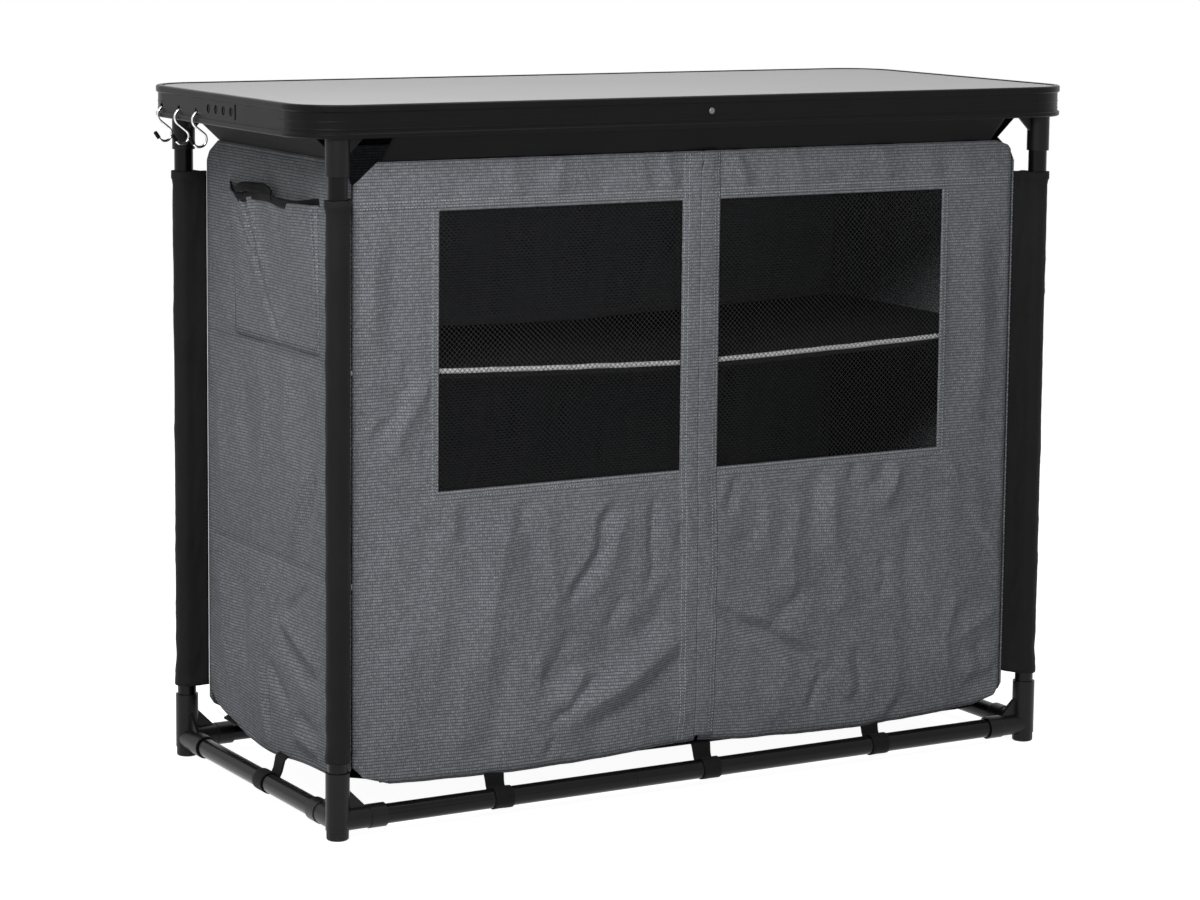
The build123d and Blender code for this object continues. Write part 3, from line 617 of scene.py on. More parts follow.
rigidFinish = {
    "table_rim": rimPaint,
    "table_board": boardLaminate,
    "table_brace": rimPaint,
    "rim_rivets": bareMetal,
    "bracket_screws": bareMetal,
    "rail_spigots": bareMetal,
    "foot_caps": plastic,
    "zip_slider": zipMetal,
    "zip_pull": zipMetal,
}
for name, node in cad.items():
    if name.startswith(("leg_front", "leg_back", "front_rail", "back_rail", "left_rail", "right_rail")):
        rigidFinish[name] = tubePaint
    elif name.startswith(("top_bracket", "base_connector")):
        rigidFinish[name] = plastic
    elif name.startswith("hook_tip"):
        rigidFinish[name] = rubber
    elif name.startswith("hook_"):
        rigidFinish[name] = chrome
    elif name.startswith("zip_coil"):
        rigidFinish[name] = zipPlastic
for name, material in rigidFinish.items():
    cad[name].data.materials.clear()
    cad[name].data.materials.append(material)
print("materials ready")


# stitches
stitchSet = {"length": 2.1 * mm, "pitch": 3.9 * mm, "width": 0.5 * mm, "lift": 0.3 * mm}


def stitchRows(name, rows, place, body, material, s=stitchSet):
    # rows of thread on a sheet: each row runs between two flat places, and place(u, v) gives its point
    points, faces = [], []
    for u1, v1, u2, v2 in rows:
        length = math.hypot(u2 - u1, v2 - v1)
        count = int(length / s["pitch"])
        du, dv = (u2 - u1) / length, (v2 - v1) / length
        for i in range(count):
            middle = (i + 0.5) * length / count
            wobble = 0.12 * mm * math.sin(i * 2.4 + u1 * 90)
            u, v = u1 + du * middle - dv * wobble, v1 + dv * middle + du * wobble
            a = place(u - du * s["length"] / 2, v - dv * s["length"] / 2)
            b = place(u + du * s["length"] / 2, v + dv * s["length"] / 2)
            normal = (place(u + 1 * mm, v) - place(u - 1 * mm, v)).cross(
                place(u, v + 1 * mm) - place(u, v - 1 * mm)
            )
            normal.normalize()
            side = (b - a).cross(normal).normalized() * s["width"]
            top = (a + b) / 2 + normal * s["lift"] * 1.6
            start = len(points)
            low = -0.1 * mm * normal
            points += [a + low, a + (b - a) * 0.25 + side, b - (b - a) * 0.25 + side, b + low]
            points += [b - (b - a) * 0.25 - side, a + (b - a) * 0.25 - side]
            points += [a + (top - a) * 0.55 + normal * 0.1 * mm, b + (top - b) * 0.55 + normal * 0.1 * mm]
            p = [start + k for k in range(8)]
            faces += [(p[0], p[1], p[6]), (p[1], p[2], p[7], p[6]), (p[2], p[3], p[7])]
            faces += [(p[3], p[4], p[7]), (p[4], p[5], p[6], p[7]), (p[5], p[0], p[6])]
            faces += [(p[0], p[5], p[1]), (p[5], p[4], p[2], p[1]), (p[4], p[3], p[2])]
    piece = pieceFrom(name, points, faces)
    return finishPiece(piece, body, [material])


# doors
doorSet = {
    "outer": 438.2 * mm,
    "inner": 6 * mm,
    "low": 52 * mm,
    "top": 735.6 * mm,
    "face": -192 * mm,
    "cell": 2.5 * mm,
    "wall": 0.9 * mm,
    "windowInner": 25 * mm,
    "windowOuter": 335 * mm,
    "windowLow": 371 * mm,
    "windowTop": 680 * mm,
    "hem": 9.0 * mm,
    "hemStep": 0.55 * mm,
    "bandLow": 684 * mm,
    "bandStep": 0.5 * mm,
    "header": 720 * mm,
    "roll": 2.2 * mm,
    "fineRoll": 0.6 * mm,
    "outerRoll": 1.5 * mm,
    "crease": 0.85 * mm,
    "billow": 3.5 * mm,
    "deepest": 3.0 * mm,
    "outerTuck": 2.5 * mm,
    "lowTuck": 3.0 * mm,
    "foldWider": 1.45,
    "foldDeeper": 2.1,
    "sag": {-1: 8.5 * mm, 1: 12 * mm},
    "sagRise": 120 * mm,
    "sagWave": 1.6 * mm,
    "topCorner": {-1: ((28, 24),), 1: ((26, 8), (14, 14), (5, 30))},
    "lowCorner": {-1: ((36, 12), (20, 20)), 1: ((25, 8), (13, 17))},
}
# folds in millimetres: width, height (negative is a valley), then places x, z along each
doorFolds = {
    -1: [
        (3.5, -1.6, [(-376, 523), (-369, 476)]),
        (3.5, -1.5, [(-381, 490), (-388, 448)]),
        (4, -2.3, [(-390, 456), (-413, 433)]),
        (9, 2.4, [(-336, 512), (-381, 439), (-394, 402)]),
        (3, -1.1, [(-352, 424), (-352, 400)]),
        (5, -1.8, [(-434, 466), (-420, 444)]),
        (13, 1.8, [(-416, 640), (-416, 525)]),
        (10, -1.4, [(-385, 660), (-392, 540)]),
        (6, 1.5, [(-319, 360), (-313, 318)]),
        (7, -1.3, [(-300, 360), (-302, 300)]),
        (13, 3.2, [(-244, 352), (-254, 308), (-270, 227), (-279, 141)]),
        (6, -1.7, [(-227, 354), (-233, 315)]),
        (8, 2.2, [(-203, 350), (-197, 294), (-187, 241), (-196, 198)]),
        (4.5, -3.6, [(-103, 345), (-125, 319), (-127, 288), (-152, 255), (-174, 226)]),
        (8, 2.0, [(-88, 335), (-108, 300), (-118, 262), (-150, 225)]),
        (5, -2.2, [(-57, 356), (-62, 291), (-59, 260), (-71, 225)]),
        (7, -2.5, [(-167, 206), (-181, 161), (-216, 134)]),
        (9, 2.9, [(-146, 157), (-181, 107)]),
        (15, 4.6, [(-12, 184), (-60, 152), (-100, 130), (-136, 116), (-190, 93)]),
        (9, -3.0, [(-14, 160), (-90, 108), (-150, 84)]),
        (6, -2.4, [(-120, 150), (-150, 128), (-186, 98), (-200, 82)]),
        (5, 1.9, [(-211, 182), (-206, 128)]),
        (6, -1.9, [(-96, 236), (-121, 194)]),
        (5, -1.8, [(-22, 314), (-26, 278)]),
        (14, 2.0, [(-408, 310), (-404, 200)]),
        (13, -1.7, [(-352, 345), (-346, 240)]),
        (12, 1.8, [(-330, 250), (-342, 110)]),
        (4, -1.5, [(-187, 84), (-196, 60)]),
        (14, 1.6, [(-300, 190), (-306, 70)]),
        (13, 1.5, [(-330, 330), (-372, 190), (-380, 90)]),
        (10, -1.4, [(-236, 200), (-262, 110), (-268, 64)]),
        (10, 1.5, [(-100, 220), (-78, 130)]),
        (8, -1.5, [(-40, 250), (-52, 200), (-88, 180)]),
        (6, 1.6, [(-10, 150), (-22, 100), (-18, 66)]),
        (9, 1.4, [(-250, 738), (-236, 688)]),
        (9, -1.4, [(-120, 738), (-132, 690)]),
        (6, 1.6, [(-52, 738), (-36, 690)]),
        (5, -1.7, [(-70, 738), (-58, 692)]),
        (10, 1.5, [(-180, 738), (-190, 690)]),
        (9, -1.5, [(-330, 738), (-300, 690)]),
    ],
    1: [
        (5, -2.0, [(56, 362), (46, 334), (38, 312)]),
        (10, 2.8, [(186, 364), (184, 309), (188, 258), (216, 223)]),
        (9, -1.6, [(164, 360), (160, 290)]),
        (5, -1.6, [(218, 366), (213, 338)]),
        (9, 3.0, [(281, 362), (269, 325), (250, 300)]),
        (6, -1.8, [(262, 362), (254, 330)]),
        (9, 1.4, [(313, 358), (314, 312)]),
        (13, 3.6, [(342, 372), (370, 312), (412, 261), (436, 221)]),
        (9, -2.2, [(352, 340), (386, 280), (420, 240)]),
        (9, 2.4, [(194, 240), (205, 205), (194, 180)]),
        (6, -1.9, [(254, 250), (262, 218), (255, 192)]),
        (7, -4.0, [(26, 224), (36, 204), (55, 184), (98, 168), (166, 124)]),
        (8, 2.4, [(42, 222), (62, 198), (104, 182), (170, 140)]),
        (4, -2.0, [(163, 126), (190, 113)]),
        (5, -2.2, [(174, 118), (158, 76)]),
        (6, -2.2, [(223, 146), (232, 82)]),
        (8, 2.4, [(193, 134), (220, 84)]),
        (7, -2.8, [(440, 84), (380, 70)]),
        (5, -1.7, [(290, 74), (270, 50)]),
        (9, -2.3, [(94, 176), (154, 217)]),
        (8, 1.8, [(430, 164), (360, 130)]),
        (4, -2.0, [(400, 405), (434, 387)]),
        (15, 2.2, [(386, 660), (399, 506), (391, 381)]),
        (12, -1.6, [(420, 640), (424, 470)]),
        (10, 1.5, [(94, 358), (91, 255)]),
        (8, 1.6, [(140, 330), (128, 250), (136, 200)]),
        (9, -1.5, [(300, 300), (290, 220), (306, 150)]),
        (7, 1.6, [(372, 200), (352, 140), (356, 90)]),
        (9, -1.4, [(86, 330), (70, 270)]),
        (8, 1.5, [(268, 180), (282, 110), (276, 60)]),
        (6, -1.6, [(400, 130), (412, 90)]),
        (7, 1.6, [(40, 738), (62, 690)]),
        (6, -1.7, [(58, 738), (84, 690)]),
        (9, 1.5, [(120, 738), (140, 690)]),
        (9, -1.4, [(170, 738), (196, 690)]),
        (10, 1.5, [(240, 738), (262, 690)]),
        (9, -1.4, [(330, 738), (352, 690)]),
        (12, 1.8, [(120, 150), (112, 60)]),
        (10, 1.3, [(330, 210), (340, 90)]),
    ],
}


def doorPlace(side):
    s = doorSet
    folds = inMetres(doorFolds[side], s["foldWider"], s["foldDeeper"])

    def place(u, v):
        x = abs(u)
        below = smoothStep((s["windowLow"] - v) / (70 * mm))
        lift = below * s["roll"] * ripple(u, v, 3.0 + side, 52 * mm, 230 * mm)
        lift += s["fineRoll"] * ripple(u, v, 9.0 + side, 30 * mm, 70 * mm)
        lift += s["crease"] * crumple(u, v, 30.0 + side) * (0.4 + 0.6 * below)
        lift += foldLift(u, v, folds)
        beside = smoothStep((x - s["windowOuter"]) / (30 * mm))
        lift += beside * s["outerRoll"] * ripple(u, v, 21.0 + side, 40 * mm, 200 * mm)
        edge = smoothStep((s["outer"] - x) / (12 * mm)) * smoothStep((x - s["inner"]) / (12 * mm))
        toWindow = max(x - s["windowOuter"], s["windowInner"] - x, s["windowLow"] - v, v - s["windowTop"])
        lift *= edge * (0.12 + 0.88 * smoothStep((toWindow - 6 * mm) / (12 * mm)))
        # the lower half stands out a little, and no valley reaches the shelves or the valance's header
        billow = s["billow"] * below * smoothStep((s["outer"] - x) / (90 * mm))
        lift += billow * smoothStep((v - s["low"]) / (50 * mm))
        deepest = s["deepest"] - 2.2 * mm * smoothStep((v - s["header"] + 14 * mm) / (14 * mm))
        if lift < 0:
            lift = -deepest * math.tanh(-lift / deepest)
        lift += s["hemStep"] * smoothStep((s["hem"] + 0.4 * mm - toWindow) / (0.8 * mm))
        lift += s["bandStep"] * smoothStep((v - s["bandLow"]) / (0.8 * mm))
        lift -= s["outerTuck"] * smoothStep((x - s["outer"] + 9 * mm) / (9 * mm)) ** 2
        lift -= s["lowTuck"] * smoothStep((s["low"] + 9 * mm - v) / (9 * mm)) ** 2
        drop = 0
        if v < s["low"] + s["sagRise"]:
            hang = s["sag"][side] * (1 - ((x - s["outer"] / 2) / (s["outer"] / 2)) ** 2)
            wave = s["sagWave"] * ripple(u, 0.0, 40.0 + side, 90 * mm, 1.0)
            drop = (wave - hang) * (1 - (v - s["low"]) / s["sagRise"]) ** 2
        return Vector((u, s["face"] - lift, v + drop))

    return place


def addDoor(side):
    s = doorSet
    word = "left" if side < 0 else "right"
    body = "door_" + word
    place = doorPlace(side)
    hemOuter, hemLow, step = s["windowOuter"] + s["hem"], s["windowLow"] - s["hem"], 0.8 * mm
    marks = [s["windowInner"], s["windowOuter"], hemOuter, hemOuter + step]
    across = stops(s["inner"], s["outer"], s["cell"], marks)
    if side < 0:
        across = [-x for x in reversed(across)]
    upMarks = [s["windowLow"], s["windowTop"], hemLow, hemLow - step, s["bandLow"], s["bandLow"] + step]
    up = stops(s["low"], s["top"], s["cell"], upMarks)

    def keep(u, v):
        inX = s["windowInner"] < abs(u) < s["windowOuter"]
        return not (inX and s["windowLow"] < v < s["windowTop"])

    cloth = clothGrid(f"door_{word}_canvas", across, up, place, keep)
    for level, turn in (("top", 1), ("low", -1)):
        corner = Vector((side * s["outer"], 0, s[level]))
        for run, rise in s[level + "Corner"][side]:
            cutAway(cloth, corner - Vector((side * run * mm, 0, 0)), Vector((side * rise, 0, turn * run)))
    thicken(cloth, s["wall"])
    finishPiece(cloth, body, [canvas, liningCloth], [f"door_{word}_cloth"])
    outer, inner = side * s["windowOuter"], side * s["windowInner"]
    rows = []
    for inset in (1.8 * mm, s["hem"] - 1.4 * mm):
        rows.append((outer + side * inset, s["windowLow"] - inset, outer + side * inset, s["windowTop"]))
        rows.append((outer + side * inset, s["windowLow"] - inset, inner, s["windowLow"] - inset))
    for rise in (1.4 * mm, 7.4 * mm):
        z = s["bandLow"] + rise
        rows.append((side * (s["outer"] - 6 * mm), z, side * (s["inner"] + 3 * mm), z))

    def above(u, v):
        return place(u, v) - Vector((0, 0.1 * mm, 0))

    stitchRows(f"door_{word}_stitches", rows, above, body, thread)


for side in (-1, 1):
    addDoor(side)
print("doors ready")


# nets
netSet = {
    "pitch": 4.2 * mm,
    "yarn": 0.68 * mm,
    "lean": 43,
    "overreach": 1.46,
    "cover": 0.31,
}


def addNet(side):
    s = netSet
    word = "left" if side < 0 else "right"
    low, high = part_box(f"door_{word}_net")
    middle = (low + high) / 2
    size = max(high.x - low.x, high.z - low.z) * s["overreach"]
    cells = int(size / s["pitch"])
    deselectAll()
    bpy.ops.mesh.primitive_grid_add(
        x_subdivisions=cells,
        y_subdivisions=cells,
        size=size,
        location=middle,
        rotation=(math.pi / 2, math.radians(s["lean"]), 0),
    )
    net = bpy.context.object
    net.name = f"door_{word}_mesh"
    bpy.ops.object.transform_apply(location=True, rotation=True, scale=True)
    for point, outward in (
        ((low.x, 0, 0), (-1, 0, 0)),
        ((high.x, 0, 0), (1, 0, 0)),
        ((0, 0, low.z), (0, 0, -1)),
        ((0, 0, high.z), (0, 0, 1)),
    ):
        cutAway(net, Vector(point), Vector(outward))
    bpy.ops.object.mode_set(mode="EDIT")
    bpy.ops.mesh.select_all(action="SELECT")
    bpy.ops.mesh.inset(thickness=s["yarn"] / 2, use_individual=True)
    bpy.ops.mesh.delete(type="FACE")
    bpy.ops.object.mode_set(mode="OBJECT")
    layer = net.data.uv_layers.active or net.data.uv_layers.new(name="cloth")
    layer.name = "cloth"
    for loop in net.data.loops:
        co = net.data.vertices[loop.vertex_index].co
        layer.data[loop.index].uv = (co.x, co.z)
    for vertex in net.data.vertices:
        x, z = vertex.co.x, vertex.co.z
        vertex.co.y += 0.5 * mm * ripple(x, z, 60.0 + side, 70 * mm, 180 * mm)
    finishPiece(net, "door_" + word, [netYarn], [f"door_{word}_net"], smooth=False)
    print(net.name, len(net.data.polygons))


for side in (-1, 1):
    addNet(side)
print("nets ready")

# cloth that hangs square to the ground
up = Vector((0, 0, 1))


def hung(origin, along, lift, drop=None):
    # a point of a hanging sheet: u runs along it, v up, and lift moves it out of its plane
    out = along.cross(up)

    def place(u, v):
        fall = drop(u, v) if drop else 0
        return origin + along * u + up * (v + fall) + out * lift(u, v)

    return place


def trimCorners(piece, origin, along, halves, levels, cuts):
    # slants off the four corners: each cut is (end, level, run, rise) in the sheet's own plane
    for end, level, run, rise in cuts:
        edge = halves[0] if end < 0 else halves[1]
        height = levels[0] if level < 0 else levels[1]
        corner = origin + along * edge + up * height
        cutAway(piece, corner - along * end * run, along * end * rise + up * level * run)


cabinet = {
    "low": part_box("door_left_cloth")[0].z,
    "top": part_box("back_panel")[1].z,
    "side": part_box("back_panel")[1].x,
    "front": -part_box("right_panel")[0].y,
    "shelves": (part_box("shelf_lower")[1].z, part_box("shelf_upper")[1].z),
}
cabinet["seams"] = (cabinet["low"], *cabinet["shelves"], cabinet["top"])
print("cabinet from the frame:", cabinet)

panelSet = {
    "wall": 0.9 * mm,
    "billow": 4.4 * mm,
    "calmTop": 0.25,
    "groove": 1.1 * mm,
    "grooveHalf": 1.5 * mm,
    "pucker": 1.0 * mm,
    "stitchRise": 6.5 * mm,
    "foldWider": 1.4,
    "foldDeeper": 2.2,
    "sag": 9 * mm,
    "deepest": 1.5 * mm,
    "bottomCut": (25 * mm, 19 * mm),
    "backCut": ((92, 24), (50, 36)),
    "topRise": 25 * mm,
}
# folds in millimetres: width, height (negative is a valley), then places along the panel and up
panelFolds = {
    "left": [
        (7, -2.2, [(119, 398), (84, 330), (59, 281)]),
        (9, 2.0, [(96, 400), (62, 330), (44, 290)]),
        (5, -1.8, [(-18, 267), (-44, 205)]),
        (5, -1.8, [(6, 229), (3, 196)]),
        (9, -3.0, [(3, 196), (60, 172), (124, 147)]),
        (9, 2.4, [(14, 212), (64, 188), (124, 166)]),
        (5, -1.8, [(90, 258), (19, 206)]),
        (5, -2.2, [(-25, 152), (-20, 66)]),
        (6, -2.2, [(-22, 153), (43, 109)]),
        (6, 2.0, [(43, 84), (113, 72)]),
        (6, -2.0, [(50, 104), (120, 92)]),
        (13, 2.2, [(-150, 250), (-120, 90)]),
        (10, -1.4, [(-92, 240), (-84, 120)]),
        (9, 1.5, [(40, 500), (30, 400)]),
        (11, -1.4, [(-90, 500), (-70, 330)]),
        (11, 1.6, [(150, 470), (120, 320)]),
        (12, 1.5, [(-150, 480), (-140, 330)]),
        (9, 1.3, [(-20, 480), (-32, 350)]),
    ],
    "right": [
        (8, 2.0, [(-110, 470), (-60, 300)]),
        (6, -1.9, [(30, 260), (60, 190)]),
        (8, -2.6, [(10, 220), (-110, 140)]),
        (8, 2.2, [(80, 180), (120, 80)]),
        (5, -2.0, [(-30, 150), (-20, 70)]),
        (9, 1.7, [(120, 700), (60, 560)]),
        (8, -1.4, [(-60, 720), (-80, 600)]),
        (12, 1.6, [(140, 470), (120, 320)]),
    ],
    "back": [
        (12, 2.4, [(-360, 250), (-300, 100)]),
        (9, -2.4, [(-180, 262), (-230, 90)]),
        (10, 2.2, [(20, 260), (80, 120)]),
        (9, -2.4, [(220, 255), (180, 70)]),
        (12, 2.2, [(330, 250), (380, 90)]),
        (10, -1.9, [(-300, 480), (-250, 330)]),
        (9, 1.7, [(-60, 490), (-20, 320)]),
        (10, -2.0, [(260, 490), (200, 320)]),
        (10, 1.7, [(-240, 720), (-200, 560)]),
        (10, -1.8, [(120, 720), (150, 540)]),
    ],
}


def panelLift(name, halves, seed):
    s = panelSet
    folds = inMetres(panelFolds[name], s["foldWider"], s["foldDeeper"])
    seams = cabinet["seams"]

    def lift(u, v):
        total = 0
        for i, (low, high) in enumerate(zip(seams, seams[1:])):
            if low <= v <= high:
                bulge = s["billow"] * (1.0 if name == "back" or i < 2 else s["calmTop"])
                total += bulge * (1 - ((2 * v - low - high) / (high - low)) ** 2)
        total += 2.2 * mm * ripple(u, v, seed, 52 * mm, 190 * mm)
        total += 1.0 * mm * crumple(u, v, seed + 3)
        total += foldLift(u, v, folds)
        for seam in seams[1:3]:
            away = abs(v - seam)
            pull = math.exp(-away / (22 * mm))
            total += s["pucker"] * pull * noise.noise(Vector((u / (9 * mm), seed, v / (70 * mm))))
            total = total * (1 - 0.75 * math.exp(-((away / (9 * mm)) ** 2)))
            total -= s["groove"] * math.exp(-((away / s["grooveHalf"]) ** 2))
        edge = smoothStep((u - halves[0]) / (14 * mm)) * smoothStep((halves[1] - u) / (14 * mm))
        edge *= smoothStep((v - seams[0]) / (12 * mm)) * smoothStep((seams[-1] - v) / (10 * mm))
        return max(total, -s["deepest"]) * edge

    return lift


def addPanel(name, origin, along, halves, topCut, seed, cell):
    s = panelSet
    lift = panelLift(name, halves, seed)
    back = -1 if name == "left" else 1 if name == "right" else 0

    def drop(u, v):
        # the side panels sag at the bottom, a little behind their middle
        near = math.exp(-(((u - back * 20 * mm) / (70 * mm)) ** 2)) * abs(back)
        return -s["sag"] * near * (1 - smoothStep((v - cabinet["low"]) / (110 * mm)))

    place = hung(origin, along, lift, drop)
    acrossStops = stops(halves[0], halves[1], cell)
    upMarks = [seam + k * mm for seam in cabinet["shelves"] for k in (-2, 0, 2)]
    upStops = stops(cabinet["low"], cabinet["top"], cell, upMarks)
    panel = clothGrid(name + "_canvas", acrossStops, upStops, place)
    low, high = cabinet["low"], cabinet["top"]
    bottomRun, bottomRise = s["bottomCut"]
    topRise = s["topRise"]
    cuts = []
    for end in (-1, 1):
        if end == back:
            cuts += [(end, -1, run * mm, rise * mm) for run, rise in s["backCut"]]
        else:
            cuts += [(end, -1, bottomRun, bottomRise * 0.7), (end, -1, bottomRun * 0.5, bottomRise)]
        cuts += [(end, 1, topCut, topRise * 0.72), (end, 1, topCut * 0.52, topRise)]
    trimCorners(panel, origin, along, halves, (low, high), cuts)
    thicken(panel, s["wall"])
    finishPiece(panel, "root", [canvas, liningCloth], [name + "_panel"])
    rows = []
    for seam in cabinet["shelves"]:
        z = seam + s["stitchRise"]
        rows.append((halves[0] + 7 * mm, z, halves[1] - 7 * mm, z))
    for end in (0, 1):
        x = halves[end] + (6 * mm if end == 0 else -6 * mm)
        rows.append((x, low + 26 * mm, x, high - 32 * mm))
    rows.append((halves[0] + 34 * mm, high - 6 * mm, halves[1] - 34 * mm, high - 6 * mm))
    rows.append((halves[0] + 27 * mm, low + 6 * mm, halves[1] - 27 * mm, low + 6 * mm))
    stitchRows(name + "_stitches", rows, place, "root", darkThread)


sideX, backY = cabinet["side"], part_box("back_panel")[0].y + 1.2 * mm
leftHalves, rightHalves = (-backY, cabinet["front"]), (-cabinet["front"], backY)
# origin, way along, both ends, top cut, seed and cell
panels = {
    "left": (Vector((-sideX, 0, 0)), Vector((0, -1, 0)), leftHalves, 33 * mm, 5.0, 2.9 * mm),
    "right": (Vector((sideX, 0, 0)), Vector((0, 1, 0)), rightHalves, 33 * mm, 15.0, 4.0 * mm),
    "back": (Vector((0, backY, 0)), Vector((-1, 0, 0)), (-sideX, sideX), 30 * mm, 25.0, 4.6 * mm),
}
for name, values in panels.items():
    addPanel(name, *values)
print("panels ready")


# floor and shelves, black cloth inside the cabinet
floorSet = {
    "cell": 9 * mm,
    "wall": 2.2 * mm,
    "edgeRadius": 2.6 * mm,
    "cut": 38 * mm,
    "edgeSag": 5 * mm,
    "edgeTilt": 7 * mm,
}


def addFloorPanel():
    s = floorSet
    low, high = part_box("floor_panel")
    z = high.z - 0.4 * mm

    def place(u, v):
        edge = min(u - low.x, high.x - u, v - low.y, high.y - v)
        wave = 1.6 * mm * ripple(u, v, 71.0, 120 * mm, 90 * mm) * smoothStep(edge / (30 * mm))
        return Vector((u, v, z + wave))

    across, back = stops(low.x, high.x, s["cell"]), stops(low.y, high.y, s["cell"])
    sheet = clothGrid("floor_panel_cloth", across, back, place)
    for sx in (-1, 1):
        for sy in (-1, 1):
            corner = Vector((sx * high.x, high.y if sy > 0 else low.y, 0))
            cutAway(sheet, corner - Vector((sx * s["cut"], 0, 0)), Vector((sx, sy, 0)))
    thicken(sheet, s["wall"])
    finishPiece(sheet, "root", [blackCloth, liningCloth], ["floor_panel"])
    return low, high


floorLow, floorHigh = addFloorPanel()


def tubeAlong(name, points, radius, sides=10):
    # a round cord or rolled edge through these points, with closed ends
    curve = bpy.data.curves.new(name, "CURVE")
    curve.dimensions = "3D"
    spline = curve.splines.new("POLY")
    spline.points.add(len(points) - 1)
    for target, point in zip(spline.points, points):
        target.co = (*point, 1)
    curve.bevel_depth = radius
    curve.bevel_resolution = max(1, sides // 4)
    curve.use_fill_caps = True
    source = bpy.data.objects.new(name + "_path", curve)
    bpy.context.scene.collection.objects.link(source)
    bpy.context.view_layer.update()
    mesh = bpy.data.meshes.new_from_object(source.evaluated_get(bpy.context.evaluated_depsgraph_get()))
    bpy.data.objects.remove(source)
    mesh.name = name
    piece = bpy.data.objects.new(name, mesh)
    bpy.context.scene.collection.objects.link(piece)
    return piece


def addFloorEdge():
    # the rolled black binding along the floor's front, which shows under the doors
    s = floorSet
    points = []
    for x in stops(floorLow.x + s["cut"], floorHigh.x - s["cut"], 9 * mm):
        dip = 1.0 * mm * noise.noise(Vector((x / (70 * mm), 3.3, 0)))
        t = x / floorHigh.x
        hang = s["edgeSag"] * (1 - t * t) + s["edgeTilt"] * max(0, t)
        points.append(Vector((x, floorLow.y - 1.2 * mm, floorLow.z + 0.6 * mm + dip - hang)))
    edge = tubeAlong("floor_edge_binding", points, s["edgeRadius"])
    finishPiece(edge, "root", [rolledBinding])


addFloorEdge()

shelfSet = {
    "cell": 8 * mm,
    "wall": 1.0 * mm,
    "rise": 2 * mm,
    "sag": 14 * mm,
    "hem": 11 * mm,
    "hemWave": 2.2 * mm,
    "piping": 2.9 * mm,
}


def shelfLevel(level, x, half):
    # the front edge hangs between its ends, steeper towards the zip than a plain arc
    s = shelfSet
    return level + s["rise"] - s["sag"] * (1 - abs(x / half) ** 1.3)


def addShelf(name, seed):
    s = shelfSet
    low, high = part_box(name)
    depth = high.y - low.y
    half = high.x

    def place(u, v):
        # v runs from the hem's lower edge (negative) over the front fold to the back
        level = shelfLevel(high.z, u, half)
        if v < 0:
            wave = s["hemWave"] * ripple(u, v, seed + 5, 36 * mm, 90 * mm) * min(1, -v / s["hem"])
            return Vector((u, low.y + 0.6 * mm - wave * 0.5, level + v - abs(wave) * 0.5))
        calm = smoothStep(v / (20 * mm)) * smoothStep((depth - v) / (20 * mm))
        calm *= smoothStep((half - abs(u)) / (20 * mm))
        wave = 1.4 * mm * ripple(u, v, seed, 90 * mm, 70 * mm) * calm
        return Vector((u, low.y + 0.6 * mm + v, level - 0.3 * mm + wave))

    across = stops(low.x, high.x, s["cell"])
    back = stops(-s["hem"], depth - 0.6 * mm, s["cell"], [0.0])
    sheet = clothGrid(name + "_cloth", across, back, place)
    thicken(sheet, s["wall"])
    finishPiece(sheet, "root", [blackCloth, liningCloth], [name])
    rows = [(low.x + 6 * mm, -s["hem"] + 3 * mm, high.x - 6 * mm, -s["hem"] + 3 * mm)]
    stitchRows(name + "_stitches", rows, place, "root", darkThread)


for name, seed in (("shelf_upper", 81.0), ("shelf_lower", 86.0)):
    addShelf(name, seed)


def addPipings():
    low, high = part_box("shelf_pipings")
    s = shelfSet
    pieces = []
    for level in cabinet["shelves"]:
        points = []
        for x in stops(low.x, high.x, 7 * mm):
            z = shelfLevel(level, x, high.x) - 2.4 * mm
            wave = 0.5 * mm * noise.noise(Vector((x / (30 * mm), level, 2)))
            points.append(Vector((x, low.y + 2.4 * mm, z + wave)))
        pieces.append(tubeAlong(f"shelf_piping_{round(level * 1000)}", points, s["piping"], 12))
    deselectAll()
    for piece in pieces:
        piece.select_set(True)
    bpy.context.view_layer.objects.active = pieces[0]
    bpy.ops.object.join()
    piping = bpy.context.object
    piping.name = "shelf_piping_cords"
    finishPiece(piping, "root", [pipingCord], ["shelf_pipings"])


addPipings()
print("floor and shelves ready")

# valances: the strips that hang the cabinet from the rim
valanceSet = {
    "cell": 5 * mm,
    "wall": 0.9 * mm,
    "header": 14 * mm,
    "wave": 2.6 * mm,
    "half": 405 * mm,
}


